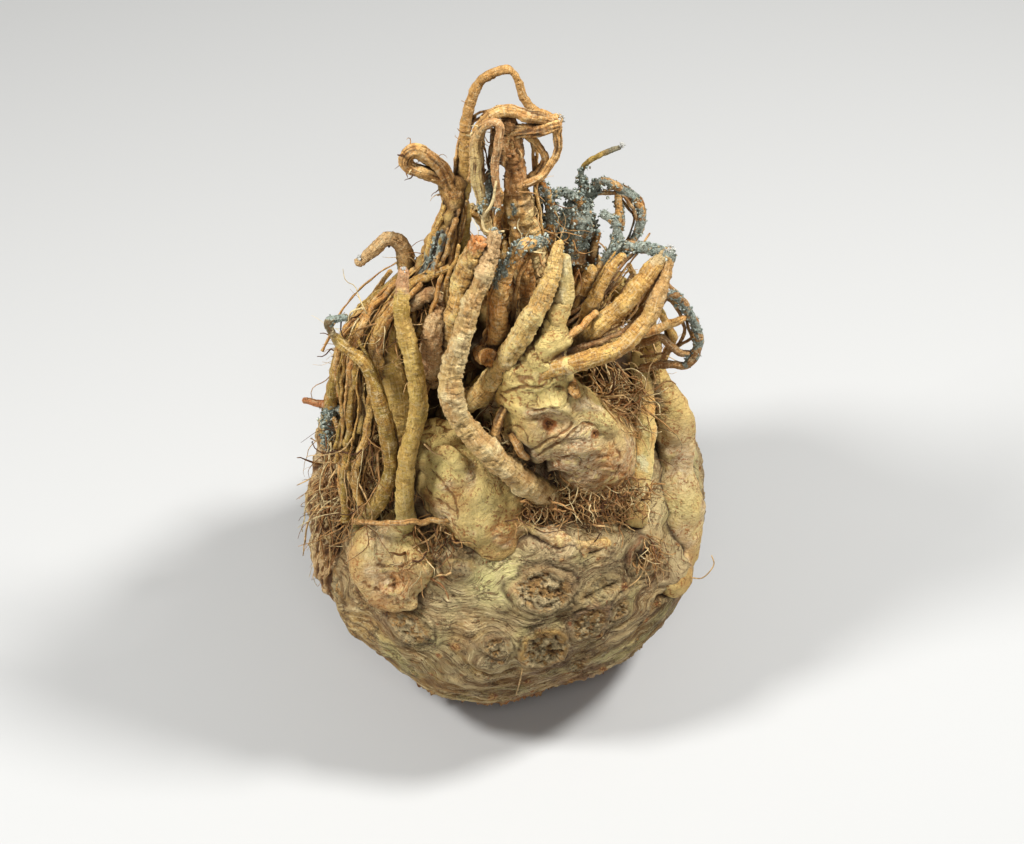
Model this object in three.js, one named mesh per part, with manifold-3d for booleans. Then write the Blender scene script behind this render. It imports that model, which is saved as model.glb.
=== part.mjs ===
// A whole celeriac standing upside down on its trimmed crown, with its thick roots left on and uppermost.
// Millimetres, +Z up. The origin is the middle of the flat trimmed crown, on the surface it stands on.
// The tuber, its swollen lobes and every root grew as one body, so they are joined into one closed solid.
import * as THREE from "three";
import Module from "manifold-3d";
import { mergeVertices } from "three/addons/utils/BufferGeometryUtils.js";

// Driving dimensions of the tuber.
const tuberWidth = 145;
const tuberDepth = 143;
const tuberHeight = 124; // as grown, before the crown is trimmed
const crownTrim = 7; // how much the knife takes off the crown
const belly = 0.035; // how far the broad ribs swell and sink, as a share of the radius

// How finely each form is faceted.
const tuberSides = 32;
const tuberRows = 18;
const lobeSides = 10;
const thickRoot = 2.6; // roots at least this thick in radius get more sides
const sidesOfThick = 6;
const sidesOfSlim = 5;
const stepOfThick = 12; // length of one facet along a root
const stepOfSlim = 9;
const tipBulge = 0.55; // how far a root's end is domed, as a share of its radius
const scarSides = 8;
const scarRise = 0.34; // how far a scar's collar stands proud of the skin, as a share of its radius

const skinColour = 0xbfa877;

// Swellings of the tuber: middle [x, y, z], half sizes along X, Y and Z, and turn about X, Y and Z in degrees.
const lobes = {
  lowerLeftLobe: { at: [-38, -41, 82], half: [19, 17, 17], turn: [0, 0, 40] },
  rightHeelLobe: { at: [59, -32, 60], half: [8, 9, 11], turn: [0, 0, 0] },
  frontShelf: { at: [6, -44, 88], half: [34, 12, 9], turn: [-25, 0, 0] },
  rearLobe: { at: [-6, 45, 82], half: [33, 23, 22], turn: [-25, 0, 12] },
  rearRightLobe: { at: [40, 34, 86], half: [26, 18, 19], turn: [0, 20, 130] },
  rearLeftLobe: { at: [-44, 32, 78], half: [25, 17, 22], turn: [0, -15, 50] },
};

// Low round collars left by roots that were cut off flush. Each stands on the skin at an angle around the tuber
// from +X and an angle up from its waist, in degrees, and its radius is in millimetres.
const scars = {
  leftScar: { around: -119, up: 11, radius: 7.5 },
  leftUpperScar: { around: -106, up: 35, radius: 5 },
  middleScar: { around: -93, up: 10, radius: 5 },
  frontScar: { around: -80, up: 7, radius: 9 },
  upperScar: { around: -79, up: 29, radius: 10.5 },
  rightScar: { around: -66, up: 14, radius: 7.5 },
  rightUpperScar: { around: -61, up: 24, radius: 7.5 },
  rightSmallScar: { around: -56, up: 13, radius: 4.5 },
  farRightScar: { around: -44, up: 27, radius: 7 },
  lowScar: { around: -69, up: -8, radius: 4 },
  farLeftScar: { around: -146, up: 8, radius: 6 },
  leftSideScar: { around: -172, up: 16, radius: 8.5 },
  rightSideScar: { around: -14, up: 10, radius: 7 },
  rightRearScar: { around: 18, up: 16, radius: 9 },
  rearRightScar: { around: 52, up: 6, radius: 8 },
  rearScar: { around: 84, up: 18, radius: 10 },
  rearLeftScar: { around: 117, up: 4, radius: 7.5 },
  leftRearScar: { around: 150, up: 14, radius: 8.5 },
};

// Roots: each waypoint is [x, y, z, radius], from inside the tuber to the tip.
const roots = {
  // swollen trunks that the tuber splits into
  crossingTrunk: [[-30, -24, 128, 7], [-20, -34, 118, 14], [-10, -38, 106, 17], [0, -40, 92, 14]],
  branchingTrunk: [
    [35, -18, 99, 14], [29, -26, 120, 16], [20, -30, 140, 12], [14, -31, 155, 9], [13, -29, 174, 6],
  ],
  middleTrunk: [[2, 2, 96, 26], [0, 3, 132, 17], [-3, 2, 158, 10], [-6, 2, 178, 6]],
  leftCore: [
    [-36, -4, 92, 17], [-35, -3, 124, 12], [-30, -5, 150, 9], [-25, -4, 176, 6], [-24, -2, 188, 5],
    [-19, 1, 200, 4], [-17, 6, 214, 3],
  ],
  rightCore: [[36, 4, 98, 16], [34, 2, 130, 11], [30, -2, 155, 7], [25, -4, 172, 4]],
  leftFlank: [
    [-49, -30, 46, 8], [-61, -31, 60, 9], [-65, -23, 76, 7], [-65, -11, 92, 6], [-63, -6, 108, 4.5],
    [-60, -6, 122, 2.5],
  ],
  rightFlank: [
    [49, -26, 46, 8], [60, -28, 62, 8], [62, -21, 78, 8], [61, -8, 92, 8], [59, 0, 108, 7],
    [54, 5, 122, 4.5], [52, 6, 129, 2.5],
  ],

  // front roots
  frontCurl: [
    [18, -28, 92, 4], [16, -38, 106, 4.5], [6, -45, 123, 5], [-5, -47, 138, 5], [-16, -43, 153, 4.8],
    [-19, -40, 165, 4.5], [-14, -32, 184, 4.2], [-7, -23, 203, 3.6], [-4, -18, 212, 2.8],
  ],
  frontSlant: [
    [-20, -12, 122, 4], [-15, -22, 138, 4.4], [-7, -29, 153, 4.5], [4, -30, 178, 4.5], [13, -25, 195, 4.2],
    [17, -17, 207, 2.6],
  ],
  paleStrap: [[13, -30, 164, 4], [15, -28, 180, 3.8], [19, -23, 191, 3.6], [18, -18, 202, 2.4]],
  sawnStub: [
    [-18, -8, 145, 4], [-19, -20, 164, 4.2], [-17, -24, 182, 4.2], [-13, -21, 199, 3.9], [-9, -19, 211, 3],
  ],
  leftLong: [
    [-36, -36, 86, 4], [-35, -47, 108, 3.4], [-35, -47, 129, 3.2], [-30, -37, 153, 3.4],
    [-31, -32, 168, 3.3], [-35, -25, 184, 3], [-34, -19, 197, 2],
  ],
  leftHook: [
    [-52, -32, 88, 3.4], [-45, -43, 110, 2.8], [-40, -42, 126, 2.7], [-42, -38, 148, 2.9],
    [-47, -31, 165, 2.4], [-57, -25, 172, 1.7], [-59, -23, 178, 1.5], [-54, -21, 178, 1.5],
  ],
  behindLeft: [
    [-38, -20, 100, 5], [-38, -29, 124, 4.8], [-38, -25, 146, 4.6], [-40, -17, 160, 3.4],
    [-34, -10, 176, 2.2],
  ],
  outerLeft: [
    [-64, -8, 92, 3.5], [-63, -13, 120, 2.6], [-58, -11, 146, 1.9], [-50, -5, 165, 1.6], [-36, 0, 177, 1.5],
  ],
  bentStub: [
    [-31, 2, 150, 3], [-34, 2, 176, 3.1], [-34, 3, 188, 3.5], [-40, 2, 195, 3.3], [-45, 0, 191, 2.5],
    [-49, -1, 187, 1.9],
  ],
  wartyStub: [[-26, -10, 140, 3.5], [-26, -22, 160, 4], [-25, -25, 173, 3.9], [-23, -22, 182, 2.2]],
  facingStub: [[-8, -6, 142, 3.5], [-5, -18, 160, 3.2], [0, -28, 171, 3]],
  orangeSlim: [
    [-4, -12, 152, 3], [-3, -23, 174, 3], [-2, -20, 190, 2.4], [5, -15, 204, 1.8], [12, -12, 204, 1.6],
  ],
  innerBrown: [[8, -10, 156, 3.6], [7, -12, 178, 3.4], [5, -9, 198, 2.4]],
  stubRight: [[24, -16, 164, 2.8], [28, -19, 181, 2.7], [33, -14, 191, 2], [38, -10, 196, 1.5]],
  lumpRight: [[23, -4, 162, 3.2], [25, -10, 180, 3.4], [28, -9, 188, 2.4]],
  uprightStub: [[23, 1, 160, 3.4], [24, 3, 180, 3.4], [26, 6, 195, 2.7]],
  twinUpper: [
    [18, -14, 155, 3], [27, -25, 174, 3.2], [39, -22, 186, 3.3], [48, -15, 195, 2.8], [53, -12, 199, 1.9],
  ],
  twinLower: [
    [6, -26, 156, 3.4], [18, -36, 170, 3.1], [36, -33, 175, 2.9], [46, -26, 182, 2.8], [51, -18, 192, 2.3],
    [53, -12, 199, 1.9],
  ],
  twinSpur: [[42, -27, 176, 1.8], [51, -24, 176, 1.5], [58, -22, 179, 1.3]],
  slimRight: [[9, -31, 168, 1.8], [20, -31, 178, 1.4], [29, -25, 184, 1.3]],
  yellowRight: [
    [49, -34, 82, 3.2], [50, -24, 101, 2.9], [52, -10, 115, 2.7], [52, 3, 128, 2.4], [48, 8, 138, 1.8],
  ],

  // the tall middle
  tallTrunk: [
    [6, 0, 146, 7], [8, -4, 170, 5.4], [6, -4, 198, 5.1], [3, -1, 217, 3.9], [2, 2, 232, 3.3],
    [0, 5, 243, 1.8],
  ],
  oliveStrap: [
    [-12, 4, 168, 3.4], [-15, 4, 195, 2.8], [-14, 8, 218, 2.4], [-13, 12, 237, 2], [-8, 15, 249, 1.8],
    [1, 15, 253, 1.5], [7, 12, 241, 1.5], [16, 6, 240, 1.5],
  ],
  foldedStrap: [
    [-6, -10, 206, 1.6], [-10, -4, 228, 2.1], [-8, 1, 241, 1.7], [-3, -1, 244, 1.5], [-4, -5, 228, 1.4],
    [-3, -9, 216, 1.1],
  ],
  upperStrap: [[-10, 0, 220, 2], [-9, 3, 238, 1.7], [-2, 4, 245, 1.7], [9, 4, 243, 1.7], [16, 6, 240, 1.6]],
  innerStrap: [[0, 1, 226, 1.8], [2, 3, 237, 1.9], [9, 3, 238, 1.9], [16, 4, 240, 1.5]],
  leftLoop: [
    [-18, 5, 210, 2.5], [-23, 5, 222, 2.1], [-31, 3, 230, 1.9], [-33, 2, 225, 1.7], [-26, 3, 220, 1.7],
    [-18, 5, 214, 1.7],
  ],
  rightWisp: [[16, 4, 239, 1.3], [16, 1, 230, 1.2], [10, -3, 223, 1.2], [4, -3, 220, 1.3]],
  innerWisp: [[4, 5, 238, 1.2], [11, 3, 230, 1.1], [12, 2, 225, 1.1], [7, 0, 221, 1.1]],

  // slim, tangled and mouldy roots
  tangleCore: [[22, 1, 184, 4.2], [24, 6, 198, 4.2], [26, 12, 205, 2.6]],
  twig: [[26, 12, 202, 1.3], [25, 17, 210, 1], [31, 17, 216, 1], [37, 18, 219, 0.9]],
  tangleArch: [
    [26, 11, 203, 1.7], [32, 11, 210, 1.6], [37, 11, 207, 1.6], [42, 11, 203, 1.6], [45, 9, 197, 1.6],
    [43, 6, 190, 1.5], [37, 3, 183, 1.5], [30, 0, 178, 1.5],
  ],
  tanglePost: [[37, 11, 206, 1.3], [37, 6, 198, 1.3], [35, 1, 190, 1.3], [30, -4, 180, 1.3]],
  tangleTwin: [[36, -3, 194, 1.6], [44, -5, 195, 2], [49, -8, 196, 2], [53, -12, 199, 1.8]],
  rightTangle: [
    [32, 3, 140, 2.4], [46, 7, 148, 1.8], [51, 3, 160, 1.7], [56, 0, 170, 1.6], [60, -1, 165, 1.7],
    [64, -2, 157, 1.7], [66, -4, 149, 1.7], [62, -7, 142, 1.7], [55, -6, 141, 1.6], [40, -2, 132, 1.8],
  ],
  rightTangleInner: [
    [32, 0, 138, 2], [44, 2, 143, 1.6], [49, -2, 148, 1.5], [54, -3, 151, 1.5], [59, -5, 146, 1.5],
    [63, -6, 146, 1.2],
  ],
  leftSpur: [[-48, -12, 124, 2], [-57, -14, 127, 1.5], [-65, -13, 128, 1.4], [-71, -12, 128, 1.2]],
  leftStrand: [
    [-57, -32, 96, 1.7], [-58, -33, 112, 1.6], [-55, -30, 128, 1.6], [-53, -27, 145, 1.5],
    [-52, -22, 163, 1.3], [-46, -13, 173, 1.3], [-35, -4, 180, 1.3], [-24, 0, 186, 1.2],
  ],
  leftStrandOuter: [
    [-58, -14, 134, 1.4], [-58, -14, 155, 1.3], [-53, -8, 163, 1.3], [-45, -3, 169, 1.3],
    [-33, 1, 178, 1.3], [-24, 2, 184, 1.2],
  ],
  leftStrandInner: [
    [-50, -37, 98, 1.6], [-53, -38, 118, 1.5], [-49, -34, 132, 1.4], [-46, -25, 150, 1.4],
    [-42, -18, 168, 1.4], [-33, -11, 182, 1.3], [-22, -7, 190, 1.2],
  ],
  vine: [
    [-42, -22, 152, 2.2], [-45, -20, 166, 2.1], [-41, -18, 174, 1.9], [-36, -14, 180, 1.8],
    [-29, -10, 185, 1.8], [-20, -8, 188, 1.5],
  ],
  knot: [[-36, -6, 172, 2.6], [-32, -12, 177, 3], [-26, -13, 181, 2.8], [-22, -12, 176, 2.2]],

  // rear roots, unseen from the front
  rearLeftOuter: [
    [-44, 26, 92, 6], [-50, 28, 112, 4.6], [-49, 24, 134, 4], [-41, 15, 154, 3.2], [-35, 8, 170, 2.2],
  ],
  rearLeft: [
    [-26, 42, 94, 6], [-30, 47, 112, 5], [-22, 46, 132, 4.4], [-8, 38, 152, 3.8], [-4, 27, 172, 3.2],
    [-12, 18, 192, 2.2],
  ],
  rearLeftStub: [[-36, 34, 92, 5], [-39, 41, 112, 4], [-40, 40, 126, 3.6]],
  rearMiddle: [
    [-6, 46, 90, 7], [4, 54, 110, 6], [14, 52, 130, 5.2], [13, 42, 152, 4.4], [2, 28, 178, 3.4],
    [-6, 17, 204, 2.2],
  ],
  rearRight: [
    [24, 42, 96, 6], [31, 46, 114, 5], [33, 38, 136, 4.4], [27, 28, 158, 3.5], [12, 22, 180, 2.6],
    [8, 14, 200, 1.8],
  ],
  rearRightOuter: [
    [44, 26, 94, 6], [51, 27, 112, 4.8], [49, 22, 134, 4], [40, 14, 156, 3.2], [34, 8, 176, 2.2],
  ],
  rearRightStub: [[14, 44, 100, 5], [20, 53, 116, 4.2], [26, 52, 130, 3.6]],
  rearInner: [
    [-12, 24, 104, 13], [-12, 28, 128, 11], [-8, 24, 150, 7.5], [-2, 18, 174, 4.4], [2, 12, 198, 2.6],
  ],
  rearInnerRight: [
    [22, 20, 104, 12], [24, 24, 126, 10.5], [24, 22, 148, 7], [24, 17, 170, 4.4], [27, 13, 192, 2.4],
  ],
  leftRearSlim: [[-58, 10, 92, 4], [-62, 12, 112, 3], [-57, 11, 136, 2.4], [-46, 8, 158, 1.9]],
};

// A point on the tuber's skin. Its broad ribs fade towards the crown and the root end.
function skinPoint(around, up) {
  const flat = Math.cos(up);
  const high = Math.sin(up);
  const ribs = Math.sin(3 * around + 1.1) * 0.5 + Math.sin(5 * around - 0.7 + 2 * high) * 0.5;
  const reach = 1 + belly * ribs * flat;
  const point = new THREE.Vector3(
    (Math.cos(around) * flat * tuberWidth) / 2,
    (Math.sin(around) * flat * tuberDepth) / 2,
    (high * tuberHeight) / 2,
  );
  return point.multiplyScalar(reach).add(new THREE.Vector3(0, 0, tuberHeight / 2 - crownTrim));
}

// A sphere whose corners are moved out to the tuber's skin.
function tuberGeometry() {
  const geometry = new THREE.SphereGeometry(1, tuberSides, tuberRows);
  const place = geometry.getAttribute("position");
  for (let i = 0; i < place.count; i++) {
    // SphereGeometry's poles are on Y, and the tuber's are on Z
    const [across, high, deep] = [place.getX(i), place.getY(i), -place.getZ(i)];
    const point = skinPoint(Math.atan2(deep, across), Math.asin(THREE.MathUtils.clamp(high, -1, 1)));
    place.setXYZ(i, point.x, point.y, point.z);
  }
  return geometry;
}

// A low dome on the skin, whose axis points away from the tuber's middle.
function scarGeometry({ around, up, radius }) {
  const middle = skinPoint(THREE.MathUtils.degToRad(around), THREE.MathUtils.degToRad(up));
  const outwards = middle.clone().setZ(middle.z - tuberHeight / 2 + crownTrim).normalize();
  const placing = new THREE.Matrix4().compose(
    middle,
    new THREE.Quaternion().setFromUnitVectors(new THREE.Vector3(0, 1, 0), outwards),
    new THREE.Vector3(radius, scarRise * radius, radius),
  );
  return new THREE.SphereGeometry(1, scarSides, 6).applyMatrix4(placing);
}

// An ellipsoid swelling.
function lobeGeometry({ at, half, turn }) {
  const radians = turn.map(THREE.MathUtils.degToRad);
  const placing = new THREE.Matrix4().compose(
    new THREE.Vector3(...at),
    new THREE.Quaternion().setFromEuler(new THREE.Euler(...radians)),
    new THREE.Vector3(...half),
  );
  return new THREE.SphereGeometry(1, lobeSides, lobeSides / 2).applyMatrix4(placing);
}

// A closed tube along a curve through the waypoints, whose radius follows theirs and whose ends are domed.
function rootGeometry(waypoints) {
  const points = waypoints.map(([x, y, z]) => new THREE.Vector3(x, y, z));
  const curve = new THREE.CatmullRomCurve3(points, false, "centripetal");
  const thickest = Math.max(...waypoints.map(([, , , radius]) => radius));
  const sides = thickest > 6 ? lobeSides : thickest >= thickRoot ? sidesOfThick : sidesOfSlim;
  const step = thickest >= thickRoot ? stepOfThick : stepOfSlim;
  const steps = Math.max(waypoints.length, Math.round(curve.getLength() / step));
  const lastWaypoint = waypoints.length - 1;

  const geometry = new THREE.CylinderGeometry(1, 1, 1, sides, steps);
  const place = geometry.getAttribute("position");
  const frames = curve.computeFrenetFrames(steps, false);
  const corner = new THREE.Vector3();
  for (let i = 0; i < place.count; i++) {
    corner.fromBufferAttribute(place, i);
    const row = Math.round((0.5 + corner.y) * steps);
    const share = curve.getUtoTmapping(row / steps) * lastWaypoint;
    const from = Math.min(Math.floor(share), lastWaypoint - 1);
    const radius = THREE.MathUtils.lerp(waypoints[from][3], waypoints[from + 1][3], share - from);
    const middleOfEnd = Math.hypot(corner.x, corner.z) < 0.5;
    const outwards = middleOfEnd ? Math.sign(corner.y) * tipBulge * radius : 0;
    const point = curve
      .getPointAt(row / steps)
      .addScaledVector(frames.normals[row], corner.z * radius)
      .addScaledVector(frames.binormals[row], corner.x * radius)
      .addScaledVector(frames.tangents[row], outwards);
    place.setXYZ(i, point.x, point.y, point.z);
  }
  return geometry;
}

const wasm = await Module();
wasm.setup();

// A closed geometry as a manifold-3d solid.
function solidOf(geometry) {
  const bare = geometry.clone();
  bare.deleteAttribute("normal");
  bare.deleteAttribute("uv");
  const merged = mergeVertices(bare, 1e-3);
  return new wasm.Manifold(
    new wasm.Mesh({
      numProp: 3,
      vertProperties: merged.getAttribute("position").array,
      triVerts: new Uint32Array(merged.index.array),
    }),
  );
}

// A manifold-3d solid as a geometry to draw.
function geometryOf(solid) {
  const { vertProperties, triVerts } = solid.getMesh();
  const geometry = new THREE.BufferGeometry()
    .setAttribute("position", new THREE.BufferAttribute(vertProperties, 3))
    .setIndex(new THREE.BufferAttribute(triVerts, 1));
  geometry.computeVertexNormals();
  return geometry;
}

const grown = [
  ...Object.values(lobes).map(lobeGeometry),
  ...Object.values(scars).map(scarGeometry),
  ...Object.values(roots).map(rootGeometry),
].reduce((whole, geometry) => whole.add(solidOf(geometry)), solidOf(tuberGeometry()));

// The knife's cut across the crown is the plane Z = 0.
const knifeDepth = 40;
const belowCut = new THREE.BoxGeometry(2 * tuberWidth, 2 * tuberDepth, knifeDepth);
belowCut.translate(0, 0, -knifeDepth / 2);
const trimmed = grown.subtract(solidOf(belowCut));

const skin = new THREE.MeshStandardMaterial({ color: skinColour, roughness: 0.85, metalness: 0 });
const celeriac = new THREE.Mesh(geometryOf(trimmed), skin);
celeriac.name = "celeriac";

const part = new THREE.Group();
part.add(celeriac);

export default part;
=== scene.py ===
import math
import random
from contextlib import contextmanager

import bmesh
import bpy
import numpy as np
from mathutils import Matrix, Vector, noise
from mathutils.bvhtree import BVHTree
from mathutils.kdtree import KDTree


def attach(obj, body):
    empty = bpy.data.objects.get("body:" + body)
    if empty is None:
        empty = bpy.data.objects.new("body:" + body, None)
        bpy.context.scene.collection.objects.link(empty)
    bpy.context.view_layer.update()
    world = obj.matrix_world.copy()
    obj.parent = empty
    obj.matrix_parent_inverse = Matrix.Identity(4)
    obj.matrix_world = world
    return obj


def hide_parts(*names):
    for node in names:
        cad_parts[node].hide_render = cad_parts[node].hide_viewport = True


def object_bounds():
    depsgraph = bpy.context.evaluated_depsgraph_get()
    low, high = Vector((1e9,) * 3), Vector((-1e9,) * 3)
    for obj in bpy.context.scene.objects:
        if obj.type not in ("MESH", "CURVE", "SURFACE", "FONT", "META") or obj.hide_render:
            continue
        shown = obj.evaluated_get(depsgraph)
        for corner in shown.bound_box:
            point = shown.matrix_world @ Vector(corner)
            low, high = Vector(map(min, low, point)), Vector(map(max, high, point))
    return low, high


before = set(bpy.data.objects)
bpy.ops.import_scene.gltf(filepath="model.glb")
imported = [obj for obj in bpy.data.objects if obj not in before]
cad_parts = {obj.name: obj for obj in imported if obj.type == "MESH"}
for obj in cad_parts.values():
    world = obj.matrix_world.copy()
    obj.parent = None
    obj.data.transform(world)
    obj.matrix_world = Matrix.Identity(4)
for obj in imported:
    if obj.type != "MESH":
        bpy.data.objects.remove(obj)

cadLow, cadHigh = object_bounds()
modelHeight = 253.18
mm = (cadHigh.z - cadLow.z) / modelHeight  # places and sizes below are in the solid's own millimetres
coarse = 1.0
noise.seed_set(11)  # without it the vector noise differs from run to run


def say(text):
    print("celeriac:", text, flush=True)


# numbers on meshes

def readVectors(mesh, kind):
    flat = np.empty(len(mesh.vertices) * 3, np.float32)
    mesh.vertices.foreach_get(kind, flat)
    return flat.reshape(-1, 3).astype(float)


def readPoints(mesh):
    return readVectors(mesh, "co") / mm


def readNormals(mesh):
    return readVectors(mesh, "normal")


def writePoints(mesh, points):
    mesh.vertices.foreach_set("co", (points * mm).astype(np.float32).ravel())
    mesh.update()


def storeField(mesh, name, *values):
    # one number for each vertex, or three that are kept as a colour
    rows = np.column_stack(values)
    if rows.shape[1] == 1:
        layer = mesh.attributes.new(name, "FLOAT", "POINT")
        layer.data.foreach_set("value", rows.astype(np.float32).ravel())
        return
    layer = mesh.attributes.new(name, "FLOAT_COLOR", "POINT")
    wide = np.column_stack([rows, np.ones(len(rows))])
    layer.data.foreach_set("color", wide.astype(np.float32).ravel())


def cloud(places, octaves=3, seed=0.0):
    return np.array([noise.fractal(place, 1.0, 2.0, octaves) for place in (places + seed).tolist()])


def clouds(places, octaves, seed, apart=1.0):
    # three clouds that have nothing to do with each other, one for each axis
    return np.stack([cloud(places, octaves, seed + apart * axis) for axis in range(3)], 1)


def ease(low, high, values):
    share = np.clip((values - low) / (high - low), 0, 1)
    return share * share * (3 - 2 * share)


def line(values, width):
    # 1 along the places where a noise crosses zero, so the places join up into wandering lines
    return np.exp(-((values / width) ** 2))


def swirled(points, size, reach, seed):
    # the points pushed about by a slow cloud, for patterns that flow and curl
    return points + reach * clouds(points / size, 2, seed, 7.7)


def chunks(points, size, seed):
    # cuts space into odd cells: a random share kept by each cell, and 1 along the cracks between them
    shares, cracks = [], []
    for point in (points / size + seed).tolist():
        distances, middles = noise.voronoi(point)
        shares.append(abs(middles[0].x * 12.99 + middles[0].y * 78.23 + middles[0].z * 37.72) * 4.37 % 1)
        cracks.append(distances[1] - distances[0])
    return np.array(shares), ease(0.22, 0.04, np.array(cracks))


def unit(vectors):
    return vectors / np.linalg.norm(vectors, axis=1)[:, None]


def bells(points, spots):
    # 1 in the middle of each spot (x, y, z, radius), falling away around it
    total = np.zeros(len(points))
    for *centre, radius in spots:
        total += np.exp(-((points - np.array(centre)) ** 2).sum(1) / (radius * radius))
    return np.minimum(total, 1)


def aroundSums(mesh):
    # a function that adds up a value over each vertex's neighbours, and how many of them there are
    ends = np.empty(len(mesh.edges) * 2, np.int32)
    mesh.edges.foreach_get("vertices", ends)
    first, second, count = ends[0::2], ends[1::2], len(mesh.vertices)

    def total(values):
        return np.bincount(first, values[second], count) + np.bincount(second, values[first], count)

    return total, total(np.ones(count))


def hollows(mesh, points, normals, rounds):
    # how far each vertex lies below the average of its surroundings
    total, around = aroundSums(mesh)
    average = points.copy()
    for _ in range(rounds):
        average = np.stack([total(average[:, axis]) for axis in range(3)], 1) / around[:, None]
    return ((average - points) * normals).sum(1)


def sunkShare(mesh, points, narrow, wide, rounds):
    # how far each vertex lies down in a narrow or a wide hollow: depths where it starts and is full
    normals = readNormals(mesh)
    share = ease(*narrow, hollows(mesh, points, normals, 3)) * 0.7
    return np.maximum(share, ease(*wide, hollows(mesh, points, normals, rounds)))


def spread(mesh, values, rounds):
    total, around = aroundSums(mesh)
    for _ in range(rounds):
        values = (values + total(values)) / (around + 1)
    return values


def pointTree(points):
    tree = KDTree(len(points))
    for index, point in enumerate(points.tolist()):
        tree.insert(point, index)
    tree.balance()
    return tree


def paint(red, green, blue):
    # a colour as the eye names it, 0 to 255, as the shader wants it
    return np.array([((share + 0.055) / 1.055) ** 2.4 if share > 0.04 else share / 12.92
                     for share in (red / 255, green / 255, blue / 255)])


# meshes

@contextmanager
def meshWork(mesh):
    # the mesh opened for editing, and written back at the end
    bm = bmesh.new()
    bm.from_mesh(mesh)
    yield bm
    bm.to_mesh(mesh)
    bm.free()


def newMesh(name):
    return bpy.data.meshes.new(name)


def evaluated(data, modifiers=()):
    # the mesh that a curve, or a mesh with modifiers, makes
    holder = bpy.data.objects.new("holder", data)
    bpy.context.scene.collection.objects.link(holder)
    for kind, settings in modifiers:
        modifier = holder.modifiers.new(kind.lower(), kind)
        for key, value in settings.items():
            setattr(modifier, key, value)
    shown = holder.evaluated_get(bpy.context.evaluated_depsgraph_get())
    result = bpy.data.meshes.new_from_object(shown)
    bpy.data.objects.remove(holder)
    return result


def joined(meshes):
    result = newMesh("joined")
    with meshWork(result) as bm:
        for mesh in meshes:
            bm.from_mesh(mesh)
    return result


def surfaceTree(mesh):
    bm = bmesh.new()
    bm.from_mesh(mesh)
    tree = BVHTree.FromBMesh(bm)
    bm.free()
    return tree


def finishPiece(name, mesh, material):
    mesh.name = name
    mesh.materials.clear()
    mesh.materials.append(material)
    mesh.shade_smooth()
    piece = bpy.data.objects.new(name, mesh)
    bpy.context.scene.collection.objects.link(piece)
    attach(piece, "root")
    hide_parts("celeriac")
    mesh.calc_loop_triangles()
    say(f"{name}: {len(mesh.loop_triangles)} triangles")
    return piece


# routes and tubes

def smoothRoute(route, step):
    # even steps along a centripetal Catmull-Rom curve through the route's points: places, radii, lengths
    knots = np.array(route, float)
    places = np.vstack([2 * knots[0] - knots[1], knots, 2 * knots[-1] - knots[-2]])[:, :3]
    rows = []
    for index in range(1, len(knots)):
        p0, p1, p2, p3 = places[index - 1:index + 3]
        d0, d1, d2 = (math.sqrt(max(np.linalg.norm(b - a), 1e-6)) for a, b in ((p0, p1), (p1, p2), (p2, p3)))
        leave = ((p1 - p0) / d0 - (p2 - p0) / (d0 + d1) + (p2 - p1) / d1) * d1
        arrive = ((p2 - p1) / d1 - (p3 - p1) / (d1 + d2) + (p3 - p2) / d2) * d1
        for share in np.linspace(0, 1, 24, endpoint=index == len(knots) - 1):
            square, cube = share ** 2, share ** 3
            place = ((2 * cube - 3 * square + 1) * p1 + (cube - 2 * square + share) * leave
                     + (3 * square - 2 * cube) * p2 + (cube - square) * arrive)
            rows.append([*place, knots[index - 1][3] * (1 - share) + knots[index][3] * share])
    rows = np.array(rows)
    lengths = np.concatenate([[0], np.cumsum(np.linalg.norm(np.diff(rows[:, :3], axis=0), axis=1))])
    count = max(int(lengths[-1] / step) + 1, 4)
    even = np.linspace(0, lengths[-1], count)
    sampled = np.column_stack([np.interp(even, lengths, rows[:, axis]) for axis in range(4)])
    return sampled[:, :3], sampled[:, 3], even


def nearRoutes(points, routes, step):
    # how far each point lies from the nearest route, and the width of the route there
    rows = np.vstack([np.column_stack(smoothRoute(route, step)[:2]) for route in routes])
    tree = pointTree(rows[:, :3])
    found = [tree.find(point)[1:] for point in points.tolist()]
    return np.array([distance for _, distance in found]), rows[[index for index, _ in found], 3]


def wander(places, lengths, reach, size, seed):
    # bends a route a little from side to side, but leaves its start where it is
    grow = ease(0, 2.5 * size, lengths)[:, None]
    along = np.column_stack([lengths / size, lengths * 0, lengths * 0])
    return places + clouds(along, 2, seed, 7.3) * reach * grow


def roundedEnd(places, radii, lengths, bulge, steps=7):
    # carries a tube past its last point to a closed dome, or to a flat cut where the bulge is small
    ahead = places[-1] - places[-2]
    ahead /= np.linalg.norm(ahead)
    angles = np.linspace(0, math.pi / 2, steps + 1)[1:]
    reach = radii[-1] * bulge * np.sin(angles)
    taper = radii[-1] * np.maximum(np.cos(angles), 0.02)
    return (np.vstack([places, places[-1] + ahead * reach[:, None]]),
            np.concatenate([radii, taper]), np.concatenate([lengths, lengths[-1] + reach]))


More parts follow.
